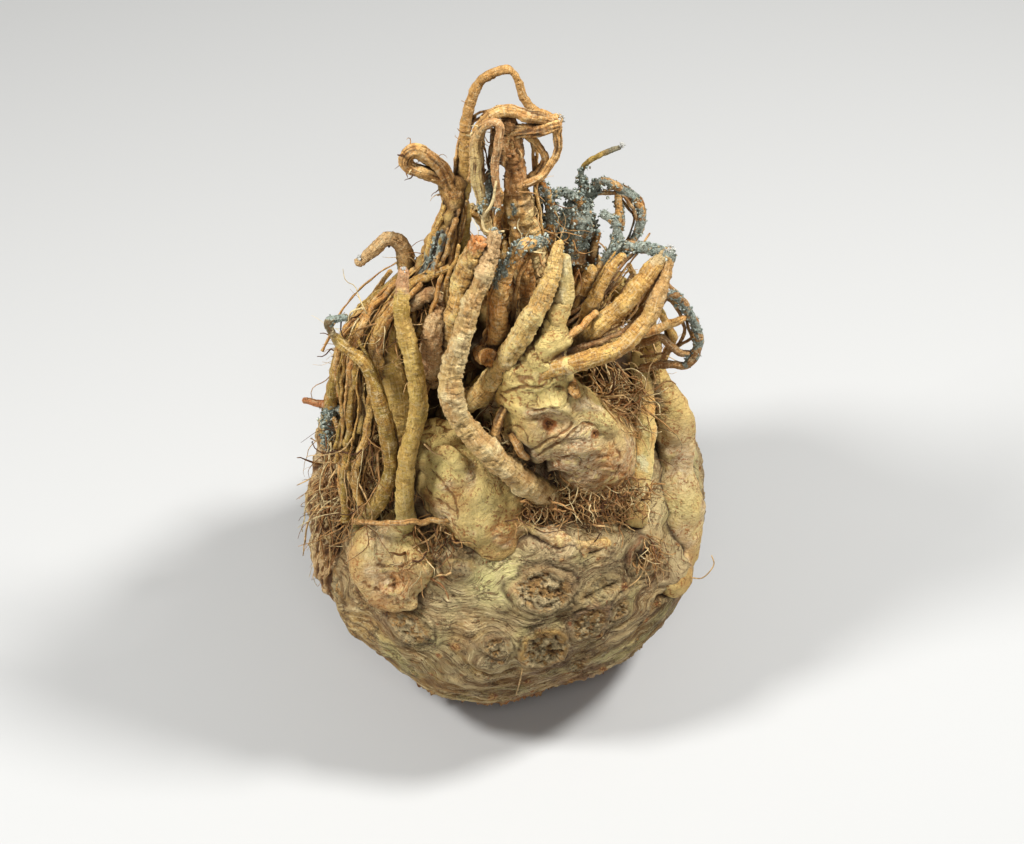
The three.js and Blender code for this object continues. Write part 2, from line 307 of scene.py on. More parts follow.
def tubes(parts, sides):
    # one closed tube for each (places, radii), in order, each ring after the last
    curve = bpy.data.curves.new("tubes", "CURVE")
    curve.dimensions = "3D"
    curve.twist_mode = "MINIMUM"
    curve.bevel_depth = 1.0
    curve.bevel_resolution = (sides - 4) // 2
    curve.use_fill_caps = False
    for places, radii in parts:
        spline = curve.splines.new("POLY")
        spline.points.add(len(places) - 1)
        flat = np.column_stack([places * mm, np.ones(len(places))])
        spline.points.foreach_set("co", flat.astype(np.float32).ravel())
        spline.points.foreach_set("radius", (radii * mm).astype(np.float32))
    mesh = evaluated(curve)
    with meshWork(mesh) as bm:
        bmesh.ops.holes_fill(bm, edges=[edge for edge in bm.edges if edge.is_boundary], sides=0)
        bmesh.ops.recalc_face_normals(bm, faces=bm.faces[:])
    return mesh


# finishes

class Finish:
    # a material being made from its look; each method adds a node and gives back what comes out of it

    def __init__(self, name, look):
        self.material = bpy.data.materials.new(name)
        self.material.use_nodes = True
        self.tree = self.material.node_tree
        self.tree.nodes.clear()
        self.look = look

    def put(self, kind, sockets=None, **settings):
        # a socket's value may be a number, a colour, the name of one in the look, or another node's output
        node = self.tree.nodes.new("ShaderNode" + kind)
        for key, value in settings.items():
            setattr(node, key, value)
        for key, value in (sockets or {}).items():
            if isinstance(value, str):
                value = self.look[value]
            if isinstance(value, bpy.types.NodeSocket):
                self.tree.links.new(value, node.inputs[key])
            elif isinstance(value, np.ndarray):
                node.inputs[key].default_value = (*value, 1.0)
            else:
                node.inputs[key].default_value = value
        return node

    def read(self, name, kind="Fac"):
        return self.put("Attribute", attribute_name=name).outputs[kind]

    def split(self, colour):
        return self.put("SeparateColor", {0: colour}).outputs[:3]

    def shares(self, name):
        return self.split(self.read(name, "Color"))

    def place(self):
        # in the solid's own millimetres
        return self.scaled(self.put("TexCoord").outputs["Object"], (1 / mm, 1 / mm, 1 / mm))

    def scaled(self, vector, factors):
        return self.put("VectorMath", {0: vector, 1: factors}, operation="MULTIPLY").outputs[0]

    def noisy(self, vector, size, detail=3.0, roughness=0.55, distortion=0.0, kind="Fac"):
        return self.put("TexNoise", {
            "Vector": vector, "Scale": 1 / size, "Detail": detail,
            "Roughness": roughness, "Distortion": distortion,
        }).outputs[kind]

    def patchy(self, vector, size, detail=3.0):
        # three patterns that have nothing to do with each other
        return self.split(self.noisy(vector, size, detail, 0.58, 0.0, "Color"))

    def between(self, value, low, high, start=0.0, stop=1.0):
        # start below low, stop above high, smooth between them
        return self.put("MapRange", {0: value, 1: low, 2: high, 3: start, 4: stop},
                        interpolation_type="SMOOTHSTEP").outputs[0]

    def maths(self, operation, first, second=0.0, third=0.0):
        return self.put("Math", {0: first, 1: second, 2: third}, operation=operation).outputs[0]

    def times(self, first, second):
        return self.maths("MULTIPLY", first, second)

    def veins(self, vector, size, width):
        # 1 on thin lines that wander and join up
        pattern = self.noisy(vector, size, 3.0, 0.5, 0.4)
        off = self.maths("ABSOLUTE", self.maths("SUBTRACT", pattern, 0.5))
        return self.between(off, width, 0.0)

    def lay(self, colour, *layers):
        # lays shades over a colour: (share, shade), or (pattern, low, high, share, shade) for a share
        # that grows from nothing where the pattern is low to the given share where it is high
        for share, *span, shade in layers:
            if span:
                low, high, most = span
                share = self.between(share, low, high, 0.0, most)
            colour = self.put("Mix", {0: share, 6: colour, 7: shade}, data_type="RGBA").outputs[2]
        return colour

    def close(self, colour, roughness, heights, specular):
        # heights are (value, depth in millimetres); they add up, the coarse ones first
        normal = None
        for value, depth in heights:
            sockets = {"Height": value, "Distance": depth * mm, "Strength": 1.0}
            if normal:
                sockets["Normal"] = normal
            normal = self.put("Bump", sockets).outputs[0]
        sockets = {"Base Color": colour, "Roughness": roughness, "Specular IOR Level": specular}
        if normal:
            sockets["Normal"] = normal
        shader = self.put("BsdfPrincipled", sockets)
        self.put("OutputMaterial", {"Surface": shader.outputs[0]})
        return self.material


# the tuber

tuberLook = {
    "size": (145, 143, 124),
    "middle": (0, 0, 55),
    "belly": 0.035,
    "cells": 122,
    "frontPull": 0.26,  # packs the cells closer on the side that is seen first
    "lumps": ((30, 1.6), (13, 1.0), (6, 0.45)),  # size and height of each
    "folds": ((8.5, 1.5), (3.8, 0.7), (1.9, 0.36)),  # spacing and depth of the folds that flow over the skin
    "sag": 0.0033,  # how far the folds of the front droop towards its middle
    "ringPitch": 2.1,  # from ring to ring round a scar
    "warts": 210,
    "crust": 2.6,
    "shelf": {"at": (6, -44, 88), "half": (34, 12, 9), "rise": 5.0},  # the front juts out a little here
    "skin": paint(172, 141, 92), "olive": paint(147, 125, 77), "mauve": paint(136, 102, 70),
    "gold": paint(186, 148, 80), "tan": paint(148, 110, 63), "cream": paint(222, 199, 148),
    "green": paint(206, 195, 128), "umber": paint(102, 72, 40), "groove": paint(59, 37, 18),
    "cork": paint(160, 117, 70), "ochre": paint(204, 157, 92), "rust": paint(132, 70, 29),
}

# around and up from the tuber's middle in degrees, radius, kind
scars = [
    (-119, 11, 7.5, "eye"), (-106, 35, 5, "smooth"), (-93, 10, 5, "disc"), (-80, 7, 9, "sawn"),
    (-79, 29, 10.5, "scab"), (-66, 14, 7.5, "cone"), (-61, 24, 7.5, "lens"), (-56, 13, 4.5, "spiral"),
    (-44, 27, 7, "pit"), (-69, -8, 4, "disc"), (-146, 8, 6, "eye"), (-172, 16, 8.5, "sawn"),
    (-14, 10, 7, "cone"), (18, 16, 9, "scab"), (52, 6, 8, "sawn"), (84, 18, 10, "eye"),
    (117, 4, 7.5, "cone"), (150, 14, 8.5, "scab"),
]
# for each kind: swelling, rim, core, rings and cracks as a share of the radius, then width to height and the
# tint of the rim
scarKinds = {
    "eye": (0.18, 0.07, 0.03, 0.055, 0.08, 1.35, paint(185, 138, 76)),
    "smooth": (0.22, 0.0, 0.04, 0.05, 0.03, 1.3, paint(185, 158, 97)),
    "disc": (0.08, 0.09, -0.05, 0.05, 0.06, 1.0, paint(159, 125, 84)),
    "sawn": (0.24, 0.15, 0.0, 0.05, 0.12, 1.0, paint(200, 155, 77)),
    "scab": (0.18, 0.07, 0.03, 0.045, 0.08, 1.3, paint(195, 160, 108)),
    "cone": (0.26, 0.05, 0.0, 0.05, 0.08, 1.1, paint(166, 127, 91)),
    "lens": (0.12, 0.03, -0.10, 0.03, 0.03, 1.7, paint(197, 169, 114)),
    "spiral": (0.12, 0.03, -0.03, 0.075, 0.04, 1.1, paint(149, 120, 69)),
    "pit": (0.02, 0.08, -0.22, 0.06, 0.04, 1.15, paint(142, 85, 49)),
}
# places of patches on the skin, each with its radius; knobs, swells and dents with their height too
tuberGreens = [
    (-1, -58, 90, 9), (-6, -61, 86, 7), (61, -24, 85, 7), (-30, -64, 66, 6), (30, -58, 78, 6),
    (34, 50, 84, 9), (-44, 44, 80, 8),
]
tuberKnobs = [
    (-18, -55, 94, 5.5, 3.2), (18, -53, 98, 5.5, 4), (32, -48, 92, 5, 3), (47, -42, 86, 7, 4.4),
    (61, -37, 69, 8, 5.2), (8, -52, 98, 5, 1.8), (-8, -66, 60, 9, 1.5), (44, -48, 66, 8, 1.6),
]
tuberSwells = [
    (-60, -40, 58, 20, 4.6), (-56, -44, 44, 14, 1.2), (7, -51, 99, 5, 1.6), (13, -53, 98, 5, 1.8),
    (24, -52, 97, 5, 1.5),
]
tuberDents = [
    (-8, -64, 74, 7, 1.4), (-28, -62, 58, 8, 1), (48, -46, 60, 7, 1.2), (-56, -40, 60, 8, 1.4),
    (12, -66, 64, 6, 1),
]


def spreadDirections():
    # directions for a sphere of even cells, from a cube cut into a grid
    mesh = newMesh("tuber")
    with meshWork(mesh) as bm:
        bmesh.ops.create_cube(bm, size=2.0 * mm)
        cuts = int(tuberLook["cells"] / coarse) - 1
        bmesh.ops.subdivide_edges(bm, edges=bm.edges[:], cuts=cuts, use_grid_fill=True)
    sphere = unit(np.tan(readPoints(mesh) * math.pi / 4))
    return mesh, unit(sphere + np.array([0.0, -0.85, 0.1]) * tuberLook["frontPull"])


def skinPoints(around, up):
    ribs = np.sin(3 * around + 1.1) * 0.5 + np.sin(5 * around - 0.7 + 2 * np.sin(up)) * 0.5
    reach = 1 + tuberLook["belly"] * ribs * np.cos(up)
    sphere = np.stack([np.cos(around) * np.cos(up), np.sin(around) * np.cos(up), np.sin(up)], -1)
    half = np.array(tuberLook["size"]) / 2
    return sphere * half * reach[..., None] + np.array(tuberLook["middle"])


def skinNormals(points):
    return unit((points - np.array(tuberLook["middle"])) / (np.array(tuberLook["size"]) / 2) ** 2)


def wartSpots():
    # small warts anywhere on the skin, each with its radius
    chance = random.Random(3)
    spots = []
    for _ in range(tuberLook["warts"]):
        around, up = chance.uniform(-math.pi, math.pi), math.asin(chance.uniform(-0.85, 0.85))
        spots.append((*skinPoints(np.array([around]), np.array([up]))[0], 0.6 + 1.7 * chance.random() ** 2))
    return spots


def scarField(points, grain, height, marks, rims):
    # adds every scar to the height, turns the grain round it and marks its core, rings and rim colour
    rings = np.zeros(len(points))
    ringShare = np.zeros(len(points))
    for index, (around, up, radius, kind) in enumerate(scars):
        swelling, rim, core, ringRise, cracks, wide, rimColour = scarKinds[kind]
        seed = 3.1 * index

        # where each point near the scar lies on it: across, upward, distance and turn
        centre = skinPoints(np.radians([around]), np.radians([up]))
        normal = skinNormals(centre)[0]
        level = np.cross((0, 0, 1), normal)
        level /= np.linalg.norm(level)
        steep = np.cross(normal, level)
        offset = points - centre[0]
        near = np.linalg.norm(offset, axis=1) < radius * 5
        across = offset[near] @ level / math.sqrt(wide)
        upward = offset[near] @ steep * math.sqrt(wide)
        distance = np.hypot(across, upward)
        turn = np.arctan2(upward, across)
        circle = np.stack([np.cos(turn), np.sin(turn), distance / radius * 0.4], 1)
        uneven = 1 + 0.22 * cloud(circle * 1.1, 2, seed) + 0.10 * cloud(circle * 3.2, 2, seed + 5)
        warped = distance / radius * uneven  # 1 about at the rim

        # the crumbly core, with its chunks and cracks
        rough = cloud(points[near] / 1.9, 3, seed)
        inside = 1 - ease(0.66, 0.9, warped)
        core = core * (1 - ease(0.2, 0.7, warped) * 0.6)
        share, gap = np.zeros(len(warped)), np.zeros(len(warped))
        heart = inside > 0.02
        share[heart], gap[heart] = chunks(swirled(points[near][heart], 2.4, 0.9, seed), 2.2, seed)
        crack = line(cloud(circle * np.array([2.2, 2.2, 1.6]), 2, seed + 9), 0.07)
        crack = crack * (1 - ease(0.55, 0.95, warped))
        crescent = line(warped - 0.62 - 0.12 * cloud(circle * 1.4, 1, seed + 4), 0.05)
        crescent = crescent * ease(-0.2, 0.3, cloud(circle, 1, seed))
        split = 0.55 * line(warped - 1.06, 0.05) * ease(-0.3, 0.2, cloud(circle * 1.2, 2, seed + 8))
        outline = 0.8 * line(warped - 1.06, 0.06) * ease(-0.4, 0.2, cloud(circle * 1.2, 2, seed + 8))

        # the rings round it
        phase = distance * (2 * math.pi / tuberLook["ringPitch"]) + 2.2 * cloud(circle * 1.4, 2, seed + 1)
        wave = np.sin(phase + (turn if kind == "spiral" else 0))
        ringZone = ease(0.8, 1.0, warped) * (1 - ease(1.25, 1.75, warped))
        ringZone = ringZone * ease(-0.45, 0.15, cloud(circle * 0.9, 2, seed + 6))

        rise = (
            swelling * np.exp(-((warped / 1.35) ** 4))
            + rim * np.exp(-(((warped - 0.86) / 0.15) ** 2))
            + core * inside
            - cracks * np.maximum(crack, crescent)
            + ringRise * wave * ringZone * (2.4 / radius) ** 0.3
        ) * radius
        crumbly = 0.3 if kind in ("lens", "smooth") else 1.0
        rise += inside * (0.6 * rough + 0.7 * (share - 0.3) - 0.6 * gap) * crumbly
        rise -= split
        if kind == "lens":
            slot = np.exp(-((upward / (0.13 * radius)) ** 2))
            rise -= 0.16 * radius * slot * (1 - ease(0.5, 0.9, warped))
        height[near] += rise

        away = np.exp(-((distance / (3.0 * radius)) ** 2))
        grain[near] -= upward * radius ** 2 / (distance ** 2 + 0.08 * radius ** 2) * away
        rings[near] += ringZone * (0.5 - 0.5 * wave)
        ringShare[near] = np.maximum(ringShare[near], 1 - ease(1.0, 1.9, warped))
        marks["core"][near] = np.maximum(marks["core"][near], inside * (0.35 if crumbly < 1 else 1.0))
        marks["crack"][near] = np.maximum.reduce([
            marks["crack"][near], crack * 0.9, crescent * 0.9, gap * crumbly * 0.5, outline,
        ])
        marks["chunk"][near] = np.where(heart, share, marks["chunk"][near])
        patch = ease(-0.75, 0.55, np.sin(turn) + 1.6 * cloud(circle * 1.3, 2, seed + 7))
        share = (np.exp(-(((warped - 0.8) / 0.26) ** 2)) * patch)[:, None]
        rims[near] = np.concatenate([rims[near][:, :3] * (1 - share) + rimColour * share,
                                     np.maximum(rims[near][:, 3:], share)], 1)
    return rings, ringShare


def makeTuber(finish):
    mesh, sphere = spreadDirections()
    around = np.arctan2(sphere[:, 1], sphere[:, 0])
    up = np.arcsin(np.clip(sphere[:, 2], -1, 1))
    points = skinPoints(around, up)
    normals = skinNormals(points)
    height = np.zeros(len(points))
    for seed, (size, rise) in enumerate(tuberLook["lumps"]):
        height += cloud(points / size, 2, 40.0 + seed) * rise
    for *centre, radius, rise in tuberKnobs + tuberSwells:
        height += bells(points, [(*centre, radius)]) * rise
    for *centre, radius, depth in tuberDents:
        height -= bells(points, [(*centre, radius)]) * depth
    shelf = tuberLook["shelf"]
    away = np.linalg.norm((points - np.array(shelf["at"])) / np.array(shelf["half"]), axis=1)
    height += shelf["rise"] * np.exp(-((away / 1.05) ** 4))

    # the grain: a height that the folds follow, bent by clouds, scars and knobs
    front = ease(20, -20, points[:, 1])
    grain = points[:, 2] - tuberLook["sag"] * points[:, 0] ** 2 * front
    grain += 8.0 * cloud(points / 36, 2, 3.0) + 2.6 * cloud(points / 10, 3, 8.0)
    marks = {name: np.zeros(len(points)) for name in ("core", "crack", "chunk")}
    rims = np.zeros((len(points), 4))
    rings, ringShare = scarField(points, grain, height, marks, rims)
    for *centre, radius, rise in tuberKnobs:
        offset = points - np.array(centre)
        distance = np.linalg.norm(offset, axis=1)
        away = np.exp(-((distance / (2.6 * radius)) ** 2))
        grain -= offset[:, 2] * radius ** 2 / (distance ** 2 + 0.3 * radius ** 2) * away

    folded, foldShading = np.zeros(len(points)), np.zeros(len(points))
    calm = 1 - ringShare * 0.8
    across = swirled(points, 14, 4.0, 15.0)
    smoother = np.maximum(bells(points, tuberGreens), 0.6 * ease(78, 92, points[:, 2]))
    for seed, (spacing, depth) in enumerate(tuberLook["folds"]):
        strength = calm * (0.25 + 0.9 * ease(-0.4, 0.35, cloud(points / (9 + 3 * spacing), 2, 60.0 + seed)))
        strength *= 1 - 0.7 * smoother
        wide = 5.5 * spacing
        run = np.stack([across[:, 0] / wide, across[:, 1] / wide, grain / (1.3 * spacing)], 1)
        wave = cloud(run, 2, 20.0 + 5 * seed)
        swell = np.minimum(np.abs(wave) * 2.6, 1)
        height += depth * (swell - 0.55) * strength
        deepest = min(1.0, 0.45 + depth * 0.5)
        folded = np.maximum(folded, line(wave, 0.075 + 0.02 * seed) * strength * deepest)
        foldShading += (swell - 0.5) * strength * min(1.0, depth)
    warts = bells(points, wartSpots()) * (1 - marks["core"])
    height += 0.75 * warts * (0.7 + 0.6 * cloud(points / 1.3, 2, 72.0)) + 0.12 * cloud(points / 1.5, 2, 70.0)

    # a crust at the foot, and an uneven but level bed to stand on
    fringe = ease(25, 14, points[:, 2] + 10 * cloud(points / 7, 2, 33.0)) * ease(-8, 0, points[:, 2])
    height += fringe * tuberLook["crust"] * (cloud(points / 2.6, 3, 90.0) + 0.25)
    points = points + normals * height[:, None]
    low = points[:, 2] < 1.2
    circles = 0.3 * np.sin(np.hypot(points[low, 0], points[low, 1]) * 1.9)
    points[low, 2] = np.clip(0.55 + 0.5 * cloud(points[low] / 3.0, 2, 12.0) + circles, 0.0, 1.2)
    writePoints(mesh, points)

    shade = np.maximum(folded * 0.6, sunkShare(mesh, points, (0.08, 0.75), (0.15, 1.3), 12))
    green = np.maximum(bells(points, tuberGreens), 0.55 * ease(0.15, 0.6, cloud(points / 17, 2, 5.0)))
    upper = ease(40, 95, points[:, 2])
    storeField(mesh, "marks", shade, marks["core"], np.maximum(marks["crack"], rings * 0.4))
    # the fold crests are kept for painted highlight and their lows for painted shade
    storeField(mesh, "details", marks["chunk"], np.clip(0.5 + 0.6 * foldShading, 0, 1), warts)
    storeField(mesh, "patches", green * (1 - marks["core"]), upper, fringe)
    storeField(mesh, "rimColour", rims[:, :3])
    storeField(mesh, "rimShare", rims[:, 3] * 0.85)
    storeField(mesh, "grain", grain)
    return finishPiece("tuberSkin", mesh, finish)


def skinFinish():
    finish = Finish("celeriacSkin", tuberLook)
    place = finish.place()
    shade, core, cracks = finish.shares("marks")
    green, upper, fringe = finish.shares("patches")
    chunk, foldShading, warts = finish.shares("details")
    axes = finish.put("SeparateXYZ", {0: place}).outputs
    flow = finish.put("CombineXYZ", {
        0: finish.times(axes[0], 0.16), 1: finish.times(axes[1], 0.16), 2: finish.read("grain"),
    }).outputs[0]
    first, second, third = finish.patchy(place, 17)
    medium, dusk, glow = finish.patchy(place, 6, 4)
    streak = finish.noisy(flow, 2.6, 5, 0.62, 0.6)
    fine = finish.noisy(flow, 0.8, 4, 0.64, 0.4)
    speck = finish.noisy(place, 1.1, 2)
    grit = finish.noisy(place, 0.45, 2)
    cracked = finish.times(finish.veins(flow, 8, 0.006), finish.between(glow, 0.46, 0.6, 0, 0.6))
    crusty = finish.times(finish.between(dusk, 0.50, 0.62), finish.between(speck, 0.42, 0.62))
    mixed = finish.maths("ADD", finish.times(chunk, 0.55), finish.times(speck, 0.75))
    crumb = finish.lay(
        "groove", (mixed, 0.12, 0.28, 1, "cork"), (mixed, 0.35, 0.49, 1, "ochre"),
        (mixed, 0.50, 0.74, 0.9, "cream"), (grit, 0.40, 0.32, 0.4, "groove"),
    )
    dark = finish.maths("MAXIMUM", finish.between(shade, 0.45, 1.0, 0, 0.8), cracks)
    colour = finish.lay(
        "skin",
        (first, 0.38, 0.6, 1, "olive"),
        (second, 0.47, 0.62, 0.8, "mauve"),
        (third, 0.50, 0.64, 0.75, "gold"),
        (medium, 0.50, 0.64, 0.75, "tan"),
        (dusk, 0.56, 0.68, 0.7, "umber"),
        (finish.times(upper, finish.between(glow, 0.3, 0.6, 0.15, 0.5)), "cream"),
        # painted highlight on the fold crests and painted shade in their lows
        (foldShading, 0.5, 0.95, 0.4, "cream"),
        (foldShading, 0.48, 0.1, 0.4, "cork"),
        (streak, 0.55, 0.72, 0.5, "cream"),
        (streak, 0.48, 0.33, 0.75, "umber"),
        (finish.times(green, finish.between(medium, 0.3, 0.6, 0.5, 0.95)), "green"),
        (fine, 0.46, 0.37, 0.82, "umber"),
        (fine, 0.55, 0.64, 0.72, "cream"),
        (cracked, "groove"),
        (finish.times(crusty, 0.5), "umber"),
        (finish.read("rimShare"), finish.read("rimColour", "Color")),
        (finish.times(core, 0.92), crumb),
        (finish.times(fringe, 0.85), finish.lay("rust", (speck, 0.45, 0.62, 1, "cork"))),
        (warts, 0.25, 0.75, 0.8, finish.lay("rust", (speck, 0.45, 0.58, 1, "ochre"))),
        (speck, 0.64, 0.71, 0.7, "rust"),
        (shade, 0.1, 0.8, 0.7, "umber"),
        (finish.times(dark, 0.86), "groove"),
        # painted shade in the gaps, darkest where the skin is most hemmed in by other pieces
        (finish.read("gapShade"), 0.22, 0.68, 0.92, trunkLook["paintedShade"]),
    )
    matt = finish.between(medium, 0.3, 0.7, 0.62, 0.86)
    roughness = finish.maths("SUBTRACT", matt, finish.times(green, 0.22))
    bumps = [(streak, 1.2), (fine, 0.9), (speck, 0.35), (crusty, 0.45), (grit, 0.3)]
    return finish.close(colour, roughness, bumps, 0.35)


# the swollen trunks above the tuber

trunkLook = {
    "voxel": 1.17,
    "roughVoxel": 1.6,  # for telling inside from outside
    "across": (0.31, 0.95, 0.08),  # any way that no trunk runs in, to measure turns from
    "finer": ((-38, -99, 84), (46, -26, 172)),  # corners of a box where cells are smaller
    "sides": 32,
    "foldSides": 12,
    "collarSides": 20,
    "rounding": 7,  # how often the joins are smoothed
    "lumps": ((17, 1.7), (7, 0.9)),
    "folds": ((5.2, 1.5), (2.4, 0.7)),  # spacing and depth of the folds that run across the trunks
    "crumples": ((3.8, 0.6), (1.9, 0.38)),  # the same for the papery patches
    "bark": 1.1,
    "skin": paint(240, 206, 130), "olive": paint(220, 188, 106), "tan": paint(213, 162, 90),
    "cream": paint(248, 223, 143), "green": paint(231, 212, 132), "groove": paint(75, 45, 21),
    "crease": paint(131, 82, 33), "paper": paint(221, 185, 138), "paperLight": paint(244, 222, 178),
    "fibre": paint(153, 112, 55), "rust": paint(169, 94, 34), "amber": paint(204, 144, 76),
    # the last colour is the painted shade laid in the gaps between the pieces
    "pit": paint(100, 49, 23), "paintedShade": paint(59, 35, 16),
}

# routes up the trunks, each place with the radius there
trunks = {
    "crossingTrunk": [[-30, -24, 128, 7], [-20, -34, 118, 14], [-10, -38, 106, 17], [0, -40, 92, 14]],
    "branchingTrunk": [[35, -18, 99, 14], [29, -26, 120, 16], [20, -30, 140, 12], [14, -31, 155, 9],
        [13, -29, 174, 6]],
    "middleTrunk": [[2, 2, 96, 26], [0, 3, 132, 17], [-3, 2, 158, 10], [-6, 2, 178, 6]],
    "leftCore": [[-36, -4, 92, 17], [-35, -3, 124, 12], [-30, -5, 150, 9], [-25, -4, 176, 6],
        [-24, -2, 188, 5], [-19, 1, 200, 4], [-17, 6, 214, 3]],
    "rightCore": [[36, 4, 98, 16], [34, 2, 130, 11], [30, -2, 155, 7], [25, -4, 172, 4]],
    "leftFlank": [[-49, -30, 46, 8], [-61, -31, 60, 9], [-65, -23, 76, 7], [-65, -11, 92, 6],
        [-63, -6, 108, 4.5], [-60, -6, 122, 2.5]],
    "rightFlank": [[49, -26, 46, 8], [60, -28, 62, 8], [62, -21, 78, 8], [61, -8, 92, 8], [59, 0, 108, 7],
        [54, 5, 122, 4.5], [52, 6, 129, 2.5]],
    "rearInner": [[-12, 24, 104, 13], [-12, 28, 128, 11], [-8, 24, 150, 7.5], [-2, 18, 174, 4.4],
        [2, 12, 198, 2.6]],
    "rearInnerRight": [[22, 20, 104, 12], [24, 24, 126, 10.5], [24, 22, 148, 7], [24, 17, 170, 4.4],
        [27, 13, 192, 2.4]],
}
# swellings: middle, half size and, where they lean, their turn in degrees; the last ones are small warts
lobes = [
    ((-38, -41, 82), (19, 17, 17), (0, 0, 40)), ((59, -37, 65), (8.5, 8, 8.5)),
    ((-6, 45, 82), (33, 23, 22), (-25, 0, 12)), ((40, 34, 86), (26, 18, 19), (0, 20, 130)),
    ((-44, 32, 78), (25, 17, 22), (0, -15, 50)), ((-22, -38, 122), (7, 6, 9), (20, 0, 0)),
    ((31, -36, 128), (11, 7, 9)), ((7, -30, 157), (11.5, 9, 13)), ((11, -35, 140), (12, 9, 13)),
    ((-33, -52, 88), (9, 9, 9)), ((-47, -50, 84), (9, 9, 9)), ((-41, -55, 78), (9, 8, 9)),
    ((-47, -59, 77), (3.4, 3, 3.2)), ((-40, -61, 77), (3.8, 3, 3.4)), ((-34, -61.5, 78), (3.2, 3, 3)),
    ((-50, -57, 79), (3, 3, 3.4)), ((-43, -61, 83), (2.6, 2.4, 2.4)), ((-37, -62, 83), (2.8, 2.4, 2.8)),
    ((-30, -58, 84), (2.6, 2.6, 3.2)), ((-27, -55, 89), (2.4, 2.6, 3)),
]


def fold(radius, *places):
    # a fold of skin, thinner at both ends
    first, *middle, last = places
    end = round(0.6 * radius, 1)
    return [[*first, end], *([*place, radius] for place in middle), [*last, end]]


# folds of skin laid over the trunks
trunkFolds = [
    fold(2.4, (0, -31, 158), (5, -36, 161), (11, -38, 162), (16, -38, 164), (20, -34, 163)),
    fold(2.8, (-3, -30, 149), (1, -36, 153), (8, -39, 155), (14, -40, 157), (19, -38, 158), (22, -33, 156)),
    fold(2.6, (-1, -32, 143), (4, -37, 149), (9, -41, 155), (15, -42, 157), (20, -41, 153), (23, -39, 145)),
    fold(2.2, (5, -35, 130), (9, -39, 137), (14, -42, 143), (20, -42, 145), (24, -40, 148)),
    fold(2.6, (7, -34, 121), (11, -39, 131), (16, -41, 136), (23, -42, 138), (29, -41, 136), (33, -38, 136)),
    fold(3.2, (26, -34, 150), (31, -35, 146), (36, -35, 138), (39, -35, 129), (39, -36, 119)),
    fold(2.6, (2, -28, 131), (4, -31, 129), (7, -33, 126)),
    fold(2.4, (13, -38, 121), (18, -41, 129), (24, -41, 130), (31, -40, 127)),
    fold(2.8, (-27, -40, 131), (-22, -41, 135), (-17, -43, 131), (-13, -45, 124)),
    fold(2, (-19, -48, 116), (-13, -49, 113), (-7, -50, 107), (-2, -50, 98)),
    fold(2.4, (-24, -51, 98), (-17, -52, 92), (-9, -52, 88), (-1, -51, 89)),
    fold(2.2, (-55, -47, 84), (-51, -49, 93), (-45, -48, 95), (-40, -51, 95)),
    fold(2.4, (-54, -53, 78), (-49, -57, 77), (-42, -59, 78), (-36, -58, 81)),
    fold(2, (-38, -44, 96), (-33, -47, 96), (-29, -50, 94), (-27, -52, 89)),
    [[3, -45, 106, 1.3], [9, -49.5, 104, 1.9], [15, -51.8, 101, 2.2], [21, -52.6, 98, 1.9],
        [26, -52.8, 94, 2.3], [28, -53, 91, 1.2]],
    [[14, -48, 104, 1.3], [18, -51, 102, 2.2], [24, -52, 99, 2.2], [30, -51, 97, 2.6], [34, -49, 95, 1.6]],
]
